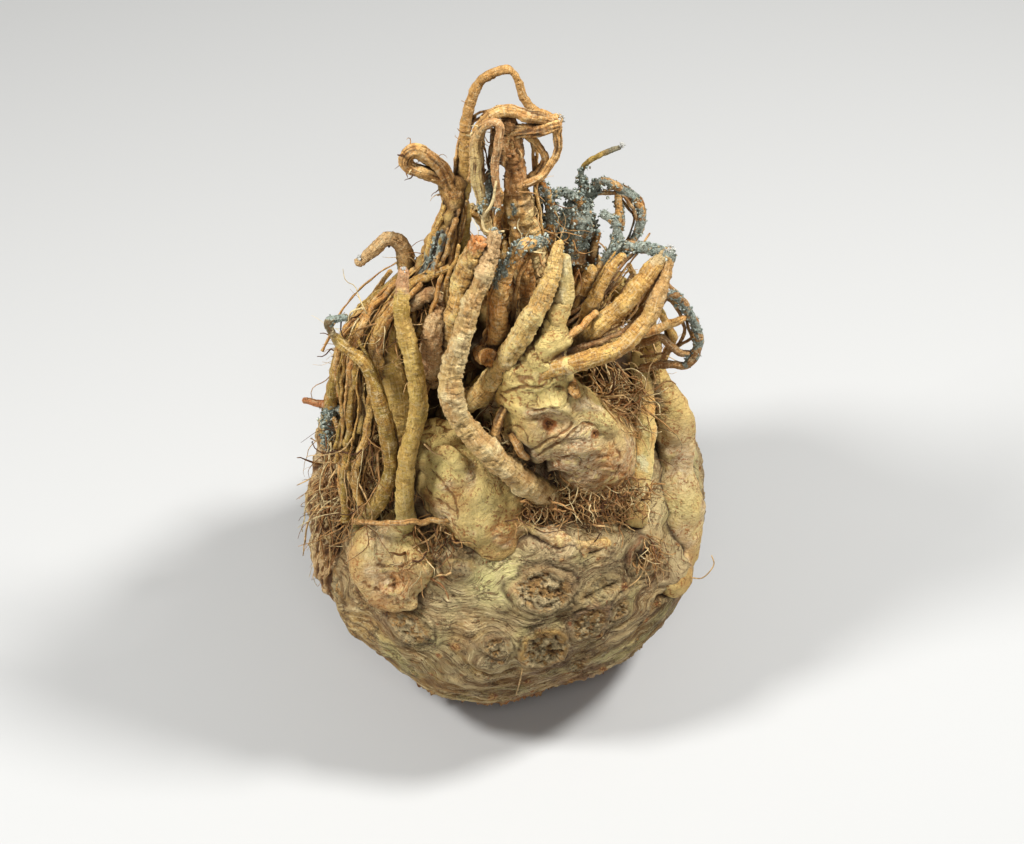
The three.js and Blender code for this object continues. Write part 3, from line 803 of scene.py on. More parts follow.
# sharp creases in the skin: routes, each place with the width there
trunkCreases = [
    [[-4, -34, 156.5, 0.5], [0, -36, 157.6, 0.8], [4, -38, 161.9, 0.9], [11, -38, 162.4, 0.9],
     [18.5, -37, 161.5, 0.6]],
    [[-4, -34, 154.9, 0.5], [1, -37.6, 155, 0.9], [6, -40, 154.6, 1], [10, -42.6, 155.4, 1],
     [15, -43, 156.8, 0.9], [20, -39, 156.4, 0.7]],
    [[2, -41, 142.7, 0.5], [4.5, -42, 139, 0.8], [7.6, -43, 136, 0.9], [11, -44.6, 140.7, 1],
     [15, -44.5, 144, 1], [21.6, -41.5, 147.7, 0.8], [20, -42, 152, 0.5]],
    [[8.7, -41, 129.6, 0.5], [12.6, -44.4, 137.5, 0.9], [17, -43.4, 141, 1], [21.7, -43, 145.3, 0.9],
     [26, -40, 147, 0.8], [31, -38, 141.7, 0.6]],
    [[15, -36, 118.4, 0.5], [19, -38.4, 115.7, 0.8], [23, -38.6, 111.2, 0.5]],
    [[1, -39, 145.3, 0.5], [4, -40.8, 146, 0.7], [6.2, -43, 144.7, 0.7], [7, -43.6, 141, 0.5]],
    [[35.5, -37.8, 136.9, 0.5], [38.4, -39.8, 130.5, 0.9], [37.2, -41.6, 123.3, 0.6]],
    [[-26.5, -42, 126, 0.5], [-22, -47, 125, 0.8], [-18, -50, 119.4, 0.8], [-17, -52.6, 112, 0.5]],
    [[-48, -54.5, 93, 0.5], [-42.8, -55.5, 91, 0.8], [-37.4, -57.4, 93, 0.8], [-32, -55.7, 95.5, 0.5]],
    [[-51.7, -57.5, 85.7, 0.5], [-46.5, -59, 83, 0.8], [-40.4, -60.7, 84, 0.6]],
    [[24, -41, 133, 0.4], [28, -41, 131, 0.7], [33, -40.5, 132, 0.5]],
    [[10, -42, 127, 0.4], [15, -43, 131, 0.7], [20, -43, 133.5, 0.7], [26, -42, 135, 0.5]],
    [[-1, -33, 148.5, 0.4], [3, -37, 151.5, 0.7], [9, -41, 150, 0.7], [13, -43, 152.5, 0.5]],
    [[-30, -43, 121, 0.4], [-26, -46, 118, 0.8], [-21, -50, 116, 0.9], [-15, -52, 113, 0.5]],
    [[-28, -47, 114, 0.4], [-22, -51, 110, 0.7], [-16, -53, 109, 0.7], [-11, -53, 106, 0.4]],
    [[-20, -54, 100, 0.4], [-15, -55, 97, 0.7], [-9, -55.5, 95, 0.7], [-3, -55, 96, 0.4]],
    [[-50, -52, 90, 0.4], [-47, -56, 87, 0.8], [-44, -58, 84, 0.8], [-40, -60, 86, 0.8],
     [-36, -58, 89, 0.4]],
    [[-33, -56, 92, 0.4], [-30, -57, 88, 0.8], [-29, -58, 83, 0.8], [-31, -59, 79, 0.4]],
]
# places of patches on the trunks, each with its radius
trunkGreens = [
    (-23, -47, 120, 5), (-25, -39, 130, 5), (-38, -50, 97, 5), (-46, -52, 93, 3.5), (61, -24, 85, 7),
    (12, -37, 165, 5), (-2, -55, 104, 6), (31, -33, 143, 5), (36, 40, 100, 9), (-8, 62, 96, 10),
]
trunkPapers = [
    (-23, -50.5, 112, 5), (13, -50, 102, 5), (22, -52, 98, 5), (30, -53, 93, 5), (14, -42, 150, 6),
    (21, -43, 128, 13), (30, -38, 124, 11), (24, -40, 143, 5), (-41, -58, 86, 11), (-44, -46, 96, 5),
    (61, -14, 99, 11), (60, -27, 76, 8), (38, -34, 116, 10), (-20, 60, 88, 12), (48, 40, 84, 10),
]
trunkBarks = [
    (-64, -26, 82, 17), (-66, -31, 68, 14), (-60, -36, 60, 13), (-66, -12, 98, 13), (-62, -40, 70, 10),
    (-58, -8, 120, 12),
]
# cream patches, each with its radius: partly the trunks' own pale colour, partly painted highlight
trunkCreamHighlights = [
    (8, -38, 160, 10), (16, -40, 160, 8), (3, -34, 138, 7), (-20, -43, 130, 8), (30, -36, 146, 7),
    (-44, -50, 94, 5), (62, -20, 90, 7), (-10, -50, 96, 8), (-12, -48, 118, 9), (-8, -50, 108, 9),
    (14, -30, 172, 10), (12, -41, 142, 6), (26, -40, 145, 5),
]
trunkRusts = [
    (-8, -52, 96, 5), (0, -52, 101, 5), (34, -42, 132, 5), (34, -43, 120, 8), (40, -36, 118, 7),
    (-3, -52, 108, 6), (-17, -48, 120, 5), (-27, -46, 115, 4), (14, -41, 147, 5), (-38, -58, 88, 6),
    (26, -53, 95, 4), (17, -52, 100, 3), (33, -50, 94, 3.5), (-44, -62, 76, 7), (-52, -52, 84, 6),
    (46, -38, 88, 6), (60, -34, 64, 8),
]
trunkPits = [
    (14, -41, 148, 2.3), (29, -39, 141, 2),
]


def ellipsoid(at, half, turn=(0, 0, 0)):
    mesh = newMesh("lobe")
    with meshWork(mesh) as bm:
        bmesh.ops.create_icosphere(bm, subdivisions=4, radius=mm)
        bmesh.ops.scale(bm, verts=bm.verts[:], vec=half)
        for axis, degrees in zip("XYZ", turn):
            bmesh.ops.rotate(bm, verts=bm.verts[:], matrix=Matrix.Rotation(math.radians(degrees), 3, axis))
        bmesh.ops.translate(bm, verts=bm.verts[:], vec=Vector(at) * mm)
    return mesh


def depthUnder(tree, points):
    # how deep each point lies inside the surface, in millimetres; negative outside
    depths = []
    for point in (points * mm).tolist():
        near, normal, _, distance = tree.find_nearest(point)
        inside = (near - Vector(point)).dot(normal) > 0
        depths.append(distance / mm if inside else -distance / mm)
    return np.array(depths)


def collar(places, radii, tree):
    # the swelling round the foot of a root where it leaves the trunk
    depths = depthUnder(tree, places)
    if depths[0] < 0:
        return None
    leaves = int(np.argmax(depths < 0)) or len(places)
    stop = min(leaves + int(3.2 * radii[0]), len(places) - 2)
    start = max(leaves - 8, 0)
    if stop - start < 5:
        return None
    share = np.linspace(0, 1, stop - start)
    return places[start:stop], radii[start:stop] * (1.55 - 0.8 * share ** 0.7)


def barrelOf(points, courses):
    # for each point, where it lies across and along the nearest trunk's own line
    rows = []
    for number, places in enumerate(courses):
        ahead = unit(np.gradient(places, axis=0))
        side = unit(np.cross(ahead, trunkLook["across"]))
        along = np.arange(len(places)) + 400 * number
        rows.append(np.column_stack([places, ahead, side, np.cross(ahead, side), along]))
    rows = np.vstack(rows)
    tree = pointTree(rows[:, :3])
    rows = rows[[tree.find(point)[1] for point in points.tolist()]]
    offset = points - rows[:, :3]
    return np.stack([(offset * rows[:, 6:9]).sum(1), (offset * rows[:, 9:12]).sum(1),
                     rows[:, 12] + (offset * rows[:, 3:6]).sum(1)], 1)


def cutInside(mesh):
    # takes away what lies well inside the tuber and closes the cuts there
    half = np.array(tuberLook["size"]) / 2 * 0.93
    deep = np.linalg.norm((readPoints(mesh) - np.array(tuberLook["middle"])) / half, axis=1) < 1
    with meshWork(mesh) as bm:
        inner = [vertex for vertex, inside in zip(bm.verts, deep) if inside]
        bmesh.ops.delete(bm, geom=inner, context="VERTS")
        bmesh.ops.holes_fill(bm, edges=[edge for edge in bm.edges if edge.is_boundary])
        bmesh.ops.triangulate(bm, faces=[face for face in bm.faces if len(face.verts) > 4])
        bmesh.ops.recalc_face_normals(bm, faces=bm.faces[:])


def refineFront(mesh):
    # smaller cells where the trunks are seen close up
    points, (low, high) = readPoints(mesh), trunkLook["finer"]
    seen = np.all((points > low) & (points < high), axis=1)
    with meshWork(mesh) as bm:
        edges = [edge for edge in bm.edges if all(seen[vertex.index] for vertex in edge.verts)]
        bmesh.ops.subdivide_edges(bm, edges=edges, cuts=1, use_grid_fill=True, smooth=0.0)
        bmesh.ops.triangulate(bm, faces=[face for face in bm.faces if len(face.verts) > 4])


def creaseShare(points, routes):
    # 1 in the middle of a crease, 0 away from it, and how wide it is there
    wavy = points + 0.45 * clouds(points / 2.3, 2, 31.0)
    distance, width = nearRoutes(wavy, routes, 0.3)
    return np.exp(-((distance / width) ** 2)), width


def voxels(size):
    return "REMESH", {"mode": "VOXEL", "voxel_size": size * mm, "adaptivity": 0.0}


def trunkMesh(rootRoutes):
    # the trunks, their lobes and folds and the collars round the roots, melted into one skin
    courses, solids = [], []
    for route in trunks.values():
        places, radii, lengths = smoothRoute(route, 1.0)
        courses.append(places)
        places = wander(places, lengths, 0.8, 14, 2.0 + len(courses))
        radii = radii * (1 + 0.10 * cloud(places / 13, 2, 51.0))
        solids.append(tubes([roundedEnd(places, radii, lengths, 0.9)[:2]], trunkLook["sides"]))
    solids += [ellipsoid(*lobe) for lobe in lobes]
    for route in trunkFolds:
        solids.append(tubes([roundedEnd(*smoothRoute(route, 1.0), 0.9)[:2]], trunkLook["foldSides"]))
    mass = joined(solids)
    tree = surfaceTree(evaluated(mass.copy(), [voxels(trunkLook["roughVoxel"])]))
    collars = [collar(*smoothRoute(route, 1.0)[:2], tree) for route in rootRoutes]
    mass = joined([mass, tubes([found for found in collars if found], trunkLook["collarSides"])])
    smooth = ("SMOOTH", {"factor": 0.6, "iterations": int(trunkLook["rounding"] / coarse)})
    mesh = evaluated(mass, [voxels(trunkLook["voxel"] * coarse), smooth])
    cutInside(mesh)
    if coarse == 1:
        refineFront(mesh)
    return mesh, courses


def makeTrunks(finish, rootRoutes):
    mesh, courses = trunkMesh(rootRoutes)
    points = readPoints(mesh)
    normals = readNormals(mesh)
    say(f"trunks: {len(points)} vertices")

    height = np.zeros(len(points))
    for seed, (size, rise) in enumerate(trunkLook["lumps"]):
        height += cloud(points / size, 2, 140.0 + seed) * rise
    swirl = swirled(points, 8, 3.2, 21.0)
    paper = np.maximum(bells(points, trunkPapers), 0.85 * ease(0.2, 0.55, cloud(points / 12, 2, 77.0)))
    bark = bells(points, trunkBarks)
    pits = bells(points, trunkPits)
    green = bells(points, trunkGreens) * (1 - bark)
    barrel = barrelOf(swirl, courses)
    narrow = ease(15, 8, np.hypot(barrel[:, 0], barrel[:, 1])) * ease(54, 46, np.abs(points[:, 0]))
    folded, foldShading = np.zeros(len(points)), np.zeros(len(points))
    for seed, (spacing, depth) in enumerate(trunkLook["folds"]):
        run = np.column_stack([barrel[:, :2] / (3.2 * spacing), barrel[:, 2] / (1.3 * spacing)])
        wave = cloud(run, 2, 120.0 + 5 * seed)
        patch = 0.4 + 0.7 * ease(-0.3, 0.3, cloud(points / 10, 2, 75.0 + seed))
        strength = (0.25 + 0.75 * narrow) * (1 - bark) * (1 - 0.7 * paper) * patch
        swell = np.minimum(np.abs(wave) * 2.6, 1)
        height += depth * (swell - 0.5) * strength
        folded = np.maximum(folded, line(wave, 0.07) * strength)
        foldShading += (swell - 0.5) * strength
    for seed, (spacing, depth) in enumerate(trunkLook["crumples"]):
        wide = 1.7 * spacing
        run = np.stack([swirl[:, 0] / wide, swirl[:, 1] / wide, swirl[:, 2] / spacing], 1)
        wave = cloud(run, 2, 31.0 + seed)
        swell = np.minimum(np.abs(wave) * 2.4, 1)
        height += depth * (swell - 0.4) * paper
        folded = np.maximum(folded, line(wave, 0.09) * paper * 0.5)
        foldShading += (swell - 0.5) * paper
    fibres = cloud(np.stack([points[:, 0] / 1.7, points[:, 1] / 1.7, points[:, 2] / 13], 1), 3, 61.0)
    height += bark * trunkLook["bark"] * (fibres * 1.3 + 0.4 * cloud(points / 3, 2, 62.0))
    rims = bells(points, [(x, y, z, 1.9 * radius) for x, y, z, radius in trunkPits]) * 1.2
    height += rims - pits * 2.0 + ease(0.5, 1.0, pits) * 0.8 * cloud(points / 0.9, 2, 66.0)
    height += 0.10 * cloud(points / 1.2, 2, 63.0)
    points = points + normals * height[:, None]
    sharp, width = creaseShare(points, trunkCreases)
    lips = 0.25 * ease(0.02, 0.3, sharp) * (1 - sharp)
    points = points + normals * (sharp * -0.9 * width + lips)[:, None]
    writePoints(mesh, points)

    shade = np.maximum.reduce([
        folded * 0.7, sunkShare(mesh, points, (0.06, 0.6), (0.2, 1.7), 14),
        bark * ease(0.1, -0.35, fibres) * 0.85, 0.55 * ease(0.25, 0.9, sharp),
    ])
    high = ease(135, 190, points[:, 2]) * ease(-32, -20, points[:, 1])
    creamHighlights = bells(points, trunkCreamHighlights) * (1 - bark)
    rusts = bells(points, trunkRusts)
    storeField(mesh, "marks", shade, pits, bark)
    storeField(mesh, "barrel", barrel)
    storeField(mesh, "patches", green, paper, high * (1 - creamHighlights))
    storeField(mesh, "details", np.clip(0.5 + 0.5 * foldShading, 0, 1), creamHighlights, rusts)
    storeField(mesh, "swirl", swirl)
    return finishPiece("trunkSkin", mesh, finish)


def trunkFinish():
    finish = Finish("trunkSkin", trunkLook)
    place = finish.place()
    shade, pits, bark = finish.shares("marks")
    green, paper, high = finish.shares("patches")
    foldShading, creamHighlights, rusts = finish.shares("details")
    barrel, swirl = finish.read("barrel", "Vector"), finish.read("swirl", "Vector")
    first, second, third = finish.patchy(place, 14)
    medium, dusk, glow = finish.patchy(place, 5, 4)
    ringed = finish.noisy(finish.scaled(barrel, (0.22, 0.22, 1.0)), 1.7, 4, 0.6, 0.4)
    papers = finish.noisy(finish.scaled(swirl, (0.35, 0.35, 1.6)), 0.8, 5, 0.68, 0.6)
    strand = finish.noisy(finish.scaled(place, (1.0, 1.0, 0.12)), 0.9, 3, 0.6)
    speck = finish.noisy(place, 1.0, 2)
    grit = finish.noisy(place, 0.42, 2)
    papery = finish.lay("paper", (papers, 0.42, 0.60, 1, "paperLight"), (papers, 0.42, 0.34, 0.5, "fibre"))
    mottled = finish.times(finish.between(speck, 0.5, 0.6), finish.between(medium, 0.44, 0.58))
    mottled = finish.maths("MAXIMUM", mottled, finish.times(rusts, finish.between(speck, 0.54, 0.62)))
    barky = finish.lay(
        "groove", (strand, 0.32, 0.55, 1, "paperLight"),
        (finish.between(first, 0.35, 0.65, 0.25, 0.6), "tan"), (medium, 0.58, 0.70, 0.55, "rust"),
    )
    rooty = finish.times(high, finish.between(medium, 0.35, 0.6, 0.5, 0.95))
    cracked = finish.times(finish.veins(swirl, 9, 0.007), finish.between(glow, 0.46, 0.58, 0, 0.8))
    colour = finish.lay(
        "skin",
        (first, 0.38, 0.62, 1, "olive"),
        (second, 0.50, 0.64, 0.7, "tan"),
        (dusk, 0.55, 0.68, 0.65, "crease"),
        (ringed, 0.52, 0.66, 0.7, "cream"),
        (ringed, 0.46, 0.32, 0.65, "tan"),
        # cream patches, partly the neck's own pale colour and partly painted highlight
        (finish.times(creamHighlights, finish.between(glow, 0.3, 0.6, 0.6, 0.95)), "cream"),
        (finish.times(green, finish.between(medium, 0.3, 0.6, 0.55, 1.0)), "green"),
        (finish.times(paper, finish.between(third, 0.2, 0.5, 0.75, 1.0)), papery),
        (papers, 0.42, 0.32, 0.4, "crease"),
        (finish.times(rusts, finish.between(ringed, 0.36, 0.56, 0.2, 0.9)), "amber"),
        (finish.times(mottled, 0.75), "rust"),
        (bark, barky),
        # painted highlight on the fold crests and painted shade in their lows
        (foldShading, 0.5, 0.95, 0.6, "cream"),
        (foldShading, 0.5, 0.1, 0.3, "fibre"),
        (shade, 0.12, 0.5, 0.8, "crease"),
        (shade, 0.48, 0.95, 0.9, "groove"),
        (rooty, finish.lay("fibre", (strand, 0.4, 0.62, 1, "tan"))),
        (pits, 0.15, 0.45, 0.8, "rust"),
        (pits, 0.5, 0.8, 0.9, finish.lay("pit", (speck, 0.46, 0.56, 1, "amber"))),
        (cracked, "crease"),
        mouldLayer(finish, place),
        # painted shade in the gaps, darkest where the skin is most hemmed in by other pieces
        (finish.read("gapShade"), 0.24, 0.72, 0.94, "paintedShade"),
    )
    sleek = finish.times(finish.maths("MAXIMUM", green, creamHighlights), 0.34)
    roughness = finish.maths("SUBTRACT", finish.between(medium, 0.3, 0.7, 0.58, 0.8), sleek)
    bumps = [(ringed, 0.85), (papers, 1.0), (finish.times(bark, strand), 0.9), (speck, 0.42), (grit, 0.32)]
    return finish.close(colour, roughness, bumps, 0.4)


# roots

def rootLook(skin, light, dark, blotch, ring, pitch, strand, lump, grit, cleanAndLit=0.0):
    # four colours, the light one also laid as painted highlight on the lumps, then how deep the rings lie and
    # how far apart, then the strands, lumps and grit, and how much less the root is marked and given painted
    # shade
    return {
        "skin": paint(*skin), "light": paint(*light), "dark": paint(*dark), "blotch": paint(*blotch),
        "ring": ring, "pitch": pitch, "strand": strand, "lump": lump, "grit": grit, "cleanAndLit": cleanAndLit,
    }


rootLooks = {
    "curl": rootLook((226, 190, 122), (248, 224, 164), (142, 96, 46), (203, 154, 92),
        0.36, 1.5, 0.06, 0.46, 0.24, 0.3),
    "slant": rootLook((238, 196, 114), (251, 224, 148), (161, 111, 50), (216, 166, 92),
        0.26, 1.6, 0.16, 0.4, 0.16),
    "pale": rootLook((232, 206, 134), (246, 228, 172), (166, 124, 60), (214, 180, 100),
        0.14, 2.2, 0.16, 0.3, 0.06, 0.6),
    "sawn": rootLook((236, 187, 104), (250, 217, 136), (150, 98, 42), (206, 150, 78),
        0.46, 2.4, 0.05, 0.25, 0.08),
    "olive": rootLook((211, 171, 88), (238, 203, 115), (132, 92, 38), (188, 157, 72),
        0.26, 2, 0.1, 0.35, 0.1, 0.35),
    "hook": rootLook((180, 137, 60), (215, 173, 85), (102, 70, 26), (163, 139, 58),
        0.22, 2, 0.16, 0.35, 0.12),
    "orange": rootLook((222, 165, 88), (247, 201, 122), (140, 86, 36), (201, 131, 60),
        0.34, 2, 0.12, 0.38, 0.12),
    "strap": rootLook((222, 169, 97), (245, 199, 123), (150, 98, 48), (201, 143, 80),
        0.06, 2.4, 0.4, 0.3, 0.14),
    "tan": rootLook((219, 171, 89), (245, 205, 117), (142, 94, 40), (194, 139, 66),
        0.2, 1.8, 0.18, 0.42, 0.18),
    "warty": rootLook((214, 166, 108), (240, 204, 146), (122, 80, 42), (182, 130, 82),
        0.12, 1.7, 0.1, 0.55, 0.5),
    "yellow": rootLook((246, 216, 138), (250, 238, 186), (176, 122, 56), (228, 162, 80),
        0.1, 3.2, 0.14, 0.3, 0.05, 0.95),
    "tall": rootLook((242, 198, 120), (252, 224, 156), (142, 90, 38), (216, 152, 76),
        0.52, 2.9, 0.1, 0.45, 0.12, 0.3),
    "rear": rootLook((211, 167, 88), (238, 199, 114), (138, 92, 38), (186, 139, 68),
        0.4, 2.2, 0.08, 0.4, 0.12),
    "reddish": rootLook((186, 133, 77), (224, 175, 107), (109, 68, 33), (153, 119, 76),
        0.1, 1.8, 0.26, 0.32, 0.18),
}
# name: (look, route), each place of a route with the radius there
frontRoots = {
    "frontCurl": ("curl", [[18, -28, 92, 4], [16, -38, 106, 4.5], [6, -45, 123, 4.8], [-5, -47, 138, 4.5],
        [-16, -43, 153, 4.2], [-19, -40, 165, 4], [-14, -32, 184, 3.6], [-7, -23, 203, 3.2],
        [-4, -18, 212, 2.5]]),
    "frontSlant": ("slant", [[-20, -12, 122, 4], [-15, -22, 138, 4.1], [-7, -29, 153, 4], [4, -30, 178, 3.8],
        [13, -25, 195, 3.5], [17, -17, 207, 2.2]]),
    "paleStrap": ("pale", [[13, -30, 164, 4], [15, -28, 180, 3.8], [19, -23, 191, 3.6],
        [18, -18, 202, 2.4]]),
    "sawnStub": ("sawn", [[-18, -8, 145, 4], [-19, -20, 164, 4.2], [-17, -24, 182, 4.2],
        [-13, -21, 199, 3.9], [-9, -19, 211, 3]]),
    "leftLong": ("olive", [[-36, -36, 86, 4], [-35, -47, 108, 3.4], [-35, -47, 129, 3.2],
        [-30, -37, 153, 3.4], [-31, -32, 168, 3.3], [-35, -25, 184, 3], [-34, -19, 197, 2]]),
    "leftHook": ("hook", [[-52, -32, 88, 3.4], [-45, -43, 110, 2.8], [-40, -42, 126, 2.7],
        [-42, -38, 148, 2.9], [-47, -31, 165, 2.4], [-57, -25, 172, 1.7], [-59, -23, 178, 1.5],
        [-54, -21, 178, 1.5]]),
    "behindLeft": ("olive", [[-38, -20, 100, 5], [-38, -29, 124, 4.8], [-38, -25, 146, 4.6],
        [-40, -17, 160, 3.4], [-34, -10, 176, 2.2]]),
    "outerLeft": ("hook", [[-64, -8, 92, 3.5], [-63, -13, 120, 2.6], [-58, -11, 146, 1.9],
        [-50, -5, 165, 1.6], [-36, 0, 177, 1.5]]),
    "bentStub": ("tan", [[-31, 2, 150, 3], [-34, 2, 176, 3.2], [-35, 3, 187, 3.2], [-40, 2, 192.5, 2.8],
        [-45, 0, 189, 2.3], [-50, -1, 184, 2]]),
    "wartyStub": ("warty", [[-26, -10, 140, 3.5], [-26, -22, 160, 4], [-25, -25, 173, 3.9],
        [-23, -22, 182, 2.2]]),
    "facingStub": ("orange", [[-9, -6, 146, 3.5], [-8, -20, 160, 3.4], [-5.5, -30, 168, 3.1]]),
    "orangeSlim": ("orange", [[-4, -12, 152, 3], [-3, -23, 174, 3], [-2, -20, 190, 2.4], [5, -15, 204, 1.8],
        [12, -12, 204, 1.6]]),
    "innerBrown": ("orange", [[8, -10, 156, 3.6], [7, -12, 178, 3.4], [5, -9, 198, 2.4]]),
    "stubRight": ("tan", [[24, -16, 164, 2.8], [28, -19, 181, 2.7], [33, -14, 191, 2], [38, -10, 196, 1.5]]),
    "lumpRight": ("tan", [[23, -4, 162, 3.2], [25, -10, 180, 3.4], [28, -9, 188, 2.4]]),
    "uprightStub": ("orange", [[23, 1, 160, 3.4], [24, 3, 180, 3.4], [26, 6, 195, 2.7]]),
    "twinUpper": ("tan", [[18, -14, 155, 3], [27, -25, 174, 3.2], [39, -22, 186, 3.3], [48, -15, 195, 2.8],
        [53, -12, 199, 1.9]]),
    "twinLower": ("tan", [[6, -26, 156, 3.4], [18, -36, 170, 3.1], [36, -33, 175, 2.9], [46, -26, 182, 2.8],
        [51, -18, 192, 2.3], [53, -12, 199, 1.9]]),
    "yellowRight": ("yellow", [[45, -32, 86, 2.2], [45.5, -35, 98, 3], [47, -24, 113, 2.7],
        [48, -10, 127, 2.4], [45, 0, 138, 1.8]]),
    "tallTrunk": ("tall", [[6, 0, 146, 7], [8, -4, 170, 5.4], [6, -4, 198, 5.1], [3, -1, 217, 3.9],
        [2, 2, 232, 3.3], [0, 5, 243, 1.8]]),
    "oliveStrap": ("olive", [[-12, 4, 168, 3.4], [-15, 4, 195, 2.8], [-14, 8, 218, 2.4], [-13, 12, 237, 2],
        [-8, 15, 249, 1.8], [1, 15, 253, 1.5], [7, 12, 241, 1.5], [16, 6, 240, 1.5]]),
    "foldedStrap": ("strap", [[-6, -10, 206, 1.6], [-10, -4, 228, 2.1], [-8, 1, 241, 1.7],
        [-3, -1, 244, 1.5], [-4, -5, 228, 1.4], [-3, -9, 216, 1.1]]),
    "upperStrap": ("strap", [[-10, 0, 220, 2], [-9, 3, 238, 1.7], [-2, 4, 245, 1.7], [9, 4, 243, 1.7],
        [16, 6, 240, 1.6]]),
    "innerStrap": ("strap", [[0, 1, 226, 1.8], [2, 3, 237, 1.9], [9, 3, 238, 1.9], [16, 4, 240, 1.5]]),
    "leftLoop": ("strap", [[-18, 5, 210, 2.5], [-23, 5, 222, 2.1], [-31, 3, 230, 1.9], [-33, 2, 225, 1.7],
        [-26, 3, 220, 1.7], [-18, 5, 214, 1.7]]),
    "rightWisp": ("strap", [[16, 4, 239, 1.3], [16, 1, 230, 1.2], [10, -3, 223, 1.2], [4, -3, 220, 1.3]]),
    "innerWisp": ("strap", [[4, 5, 238, 1.2], [11, 3, 230, 1.1], [12, 2, 225, 1.1], [7, 0, 221, 1.1]]),
}
rearRoots = {
    "rearLeftOuter": ("rear", [[-44, 26, 92, 6], [-50, 28, 112, 4.6], [-49, 24, 134, 4], [-41, 15, 154, 3.2],
        [-35, 8, 170, 2.2]]),
    "rearLeft": ("curl", [[-26, 42, 94, 6], [-30, 47, 112, 5], [-22, 46, 132, 4.4], [-8, 38, 152, 3.8],
        [-4, 27, 172, 3.2], [-12, 18, 192, 2.2]]),
    "rearLeftStub": ("sawn", [[-36, 34, 92, 5], [-39, 41, 112, 4], [-40, 40, 126, 3.6]]),
    "rearMiddle": ("rear", [[-6, 46, 90, 7], [4, 54, 110, 6], [14, 52, 130, 5.2], [13, 42, 152, 4.4],
        [2, 28, 178, 3.4], [-6, 17, 204, 2.2]]),
    "rearRight": ("tan", [[24, 42, 96, 6], [31, 46, 114, 5], [33, 38, 136, 4.4], [27, 28, 158, 3.5],
        [12, 22, 180, 2.6], [8, 14, 200, 1.8]]),
    "rearRightOuter": ("olive", [[44, 26, 94, 6], [51, 27, 112, 4.8], [49, 22, 134, 4], [40, 14, 156, 3.2],
        [34, 8, 176, 2.2]]),
    "rearRightStub": ("sawn", [[14, 44, 100, 5], [20, 53, 116, 4.2], [26, 52, 130, 3.6]]),
    "leftRearSlim": ("olive", [[-58, 10, 92, 4], [-62, 12, 112, 3], [-57, 11, 136, 2.4],
        [-46, 8, 158, 1.9]]),
}
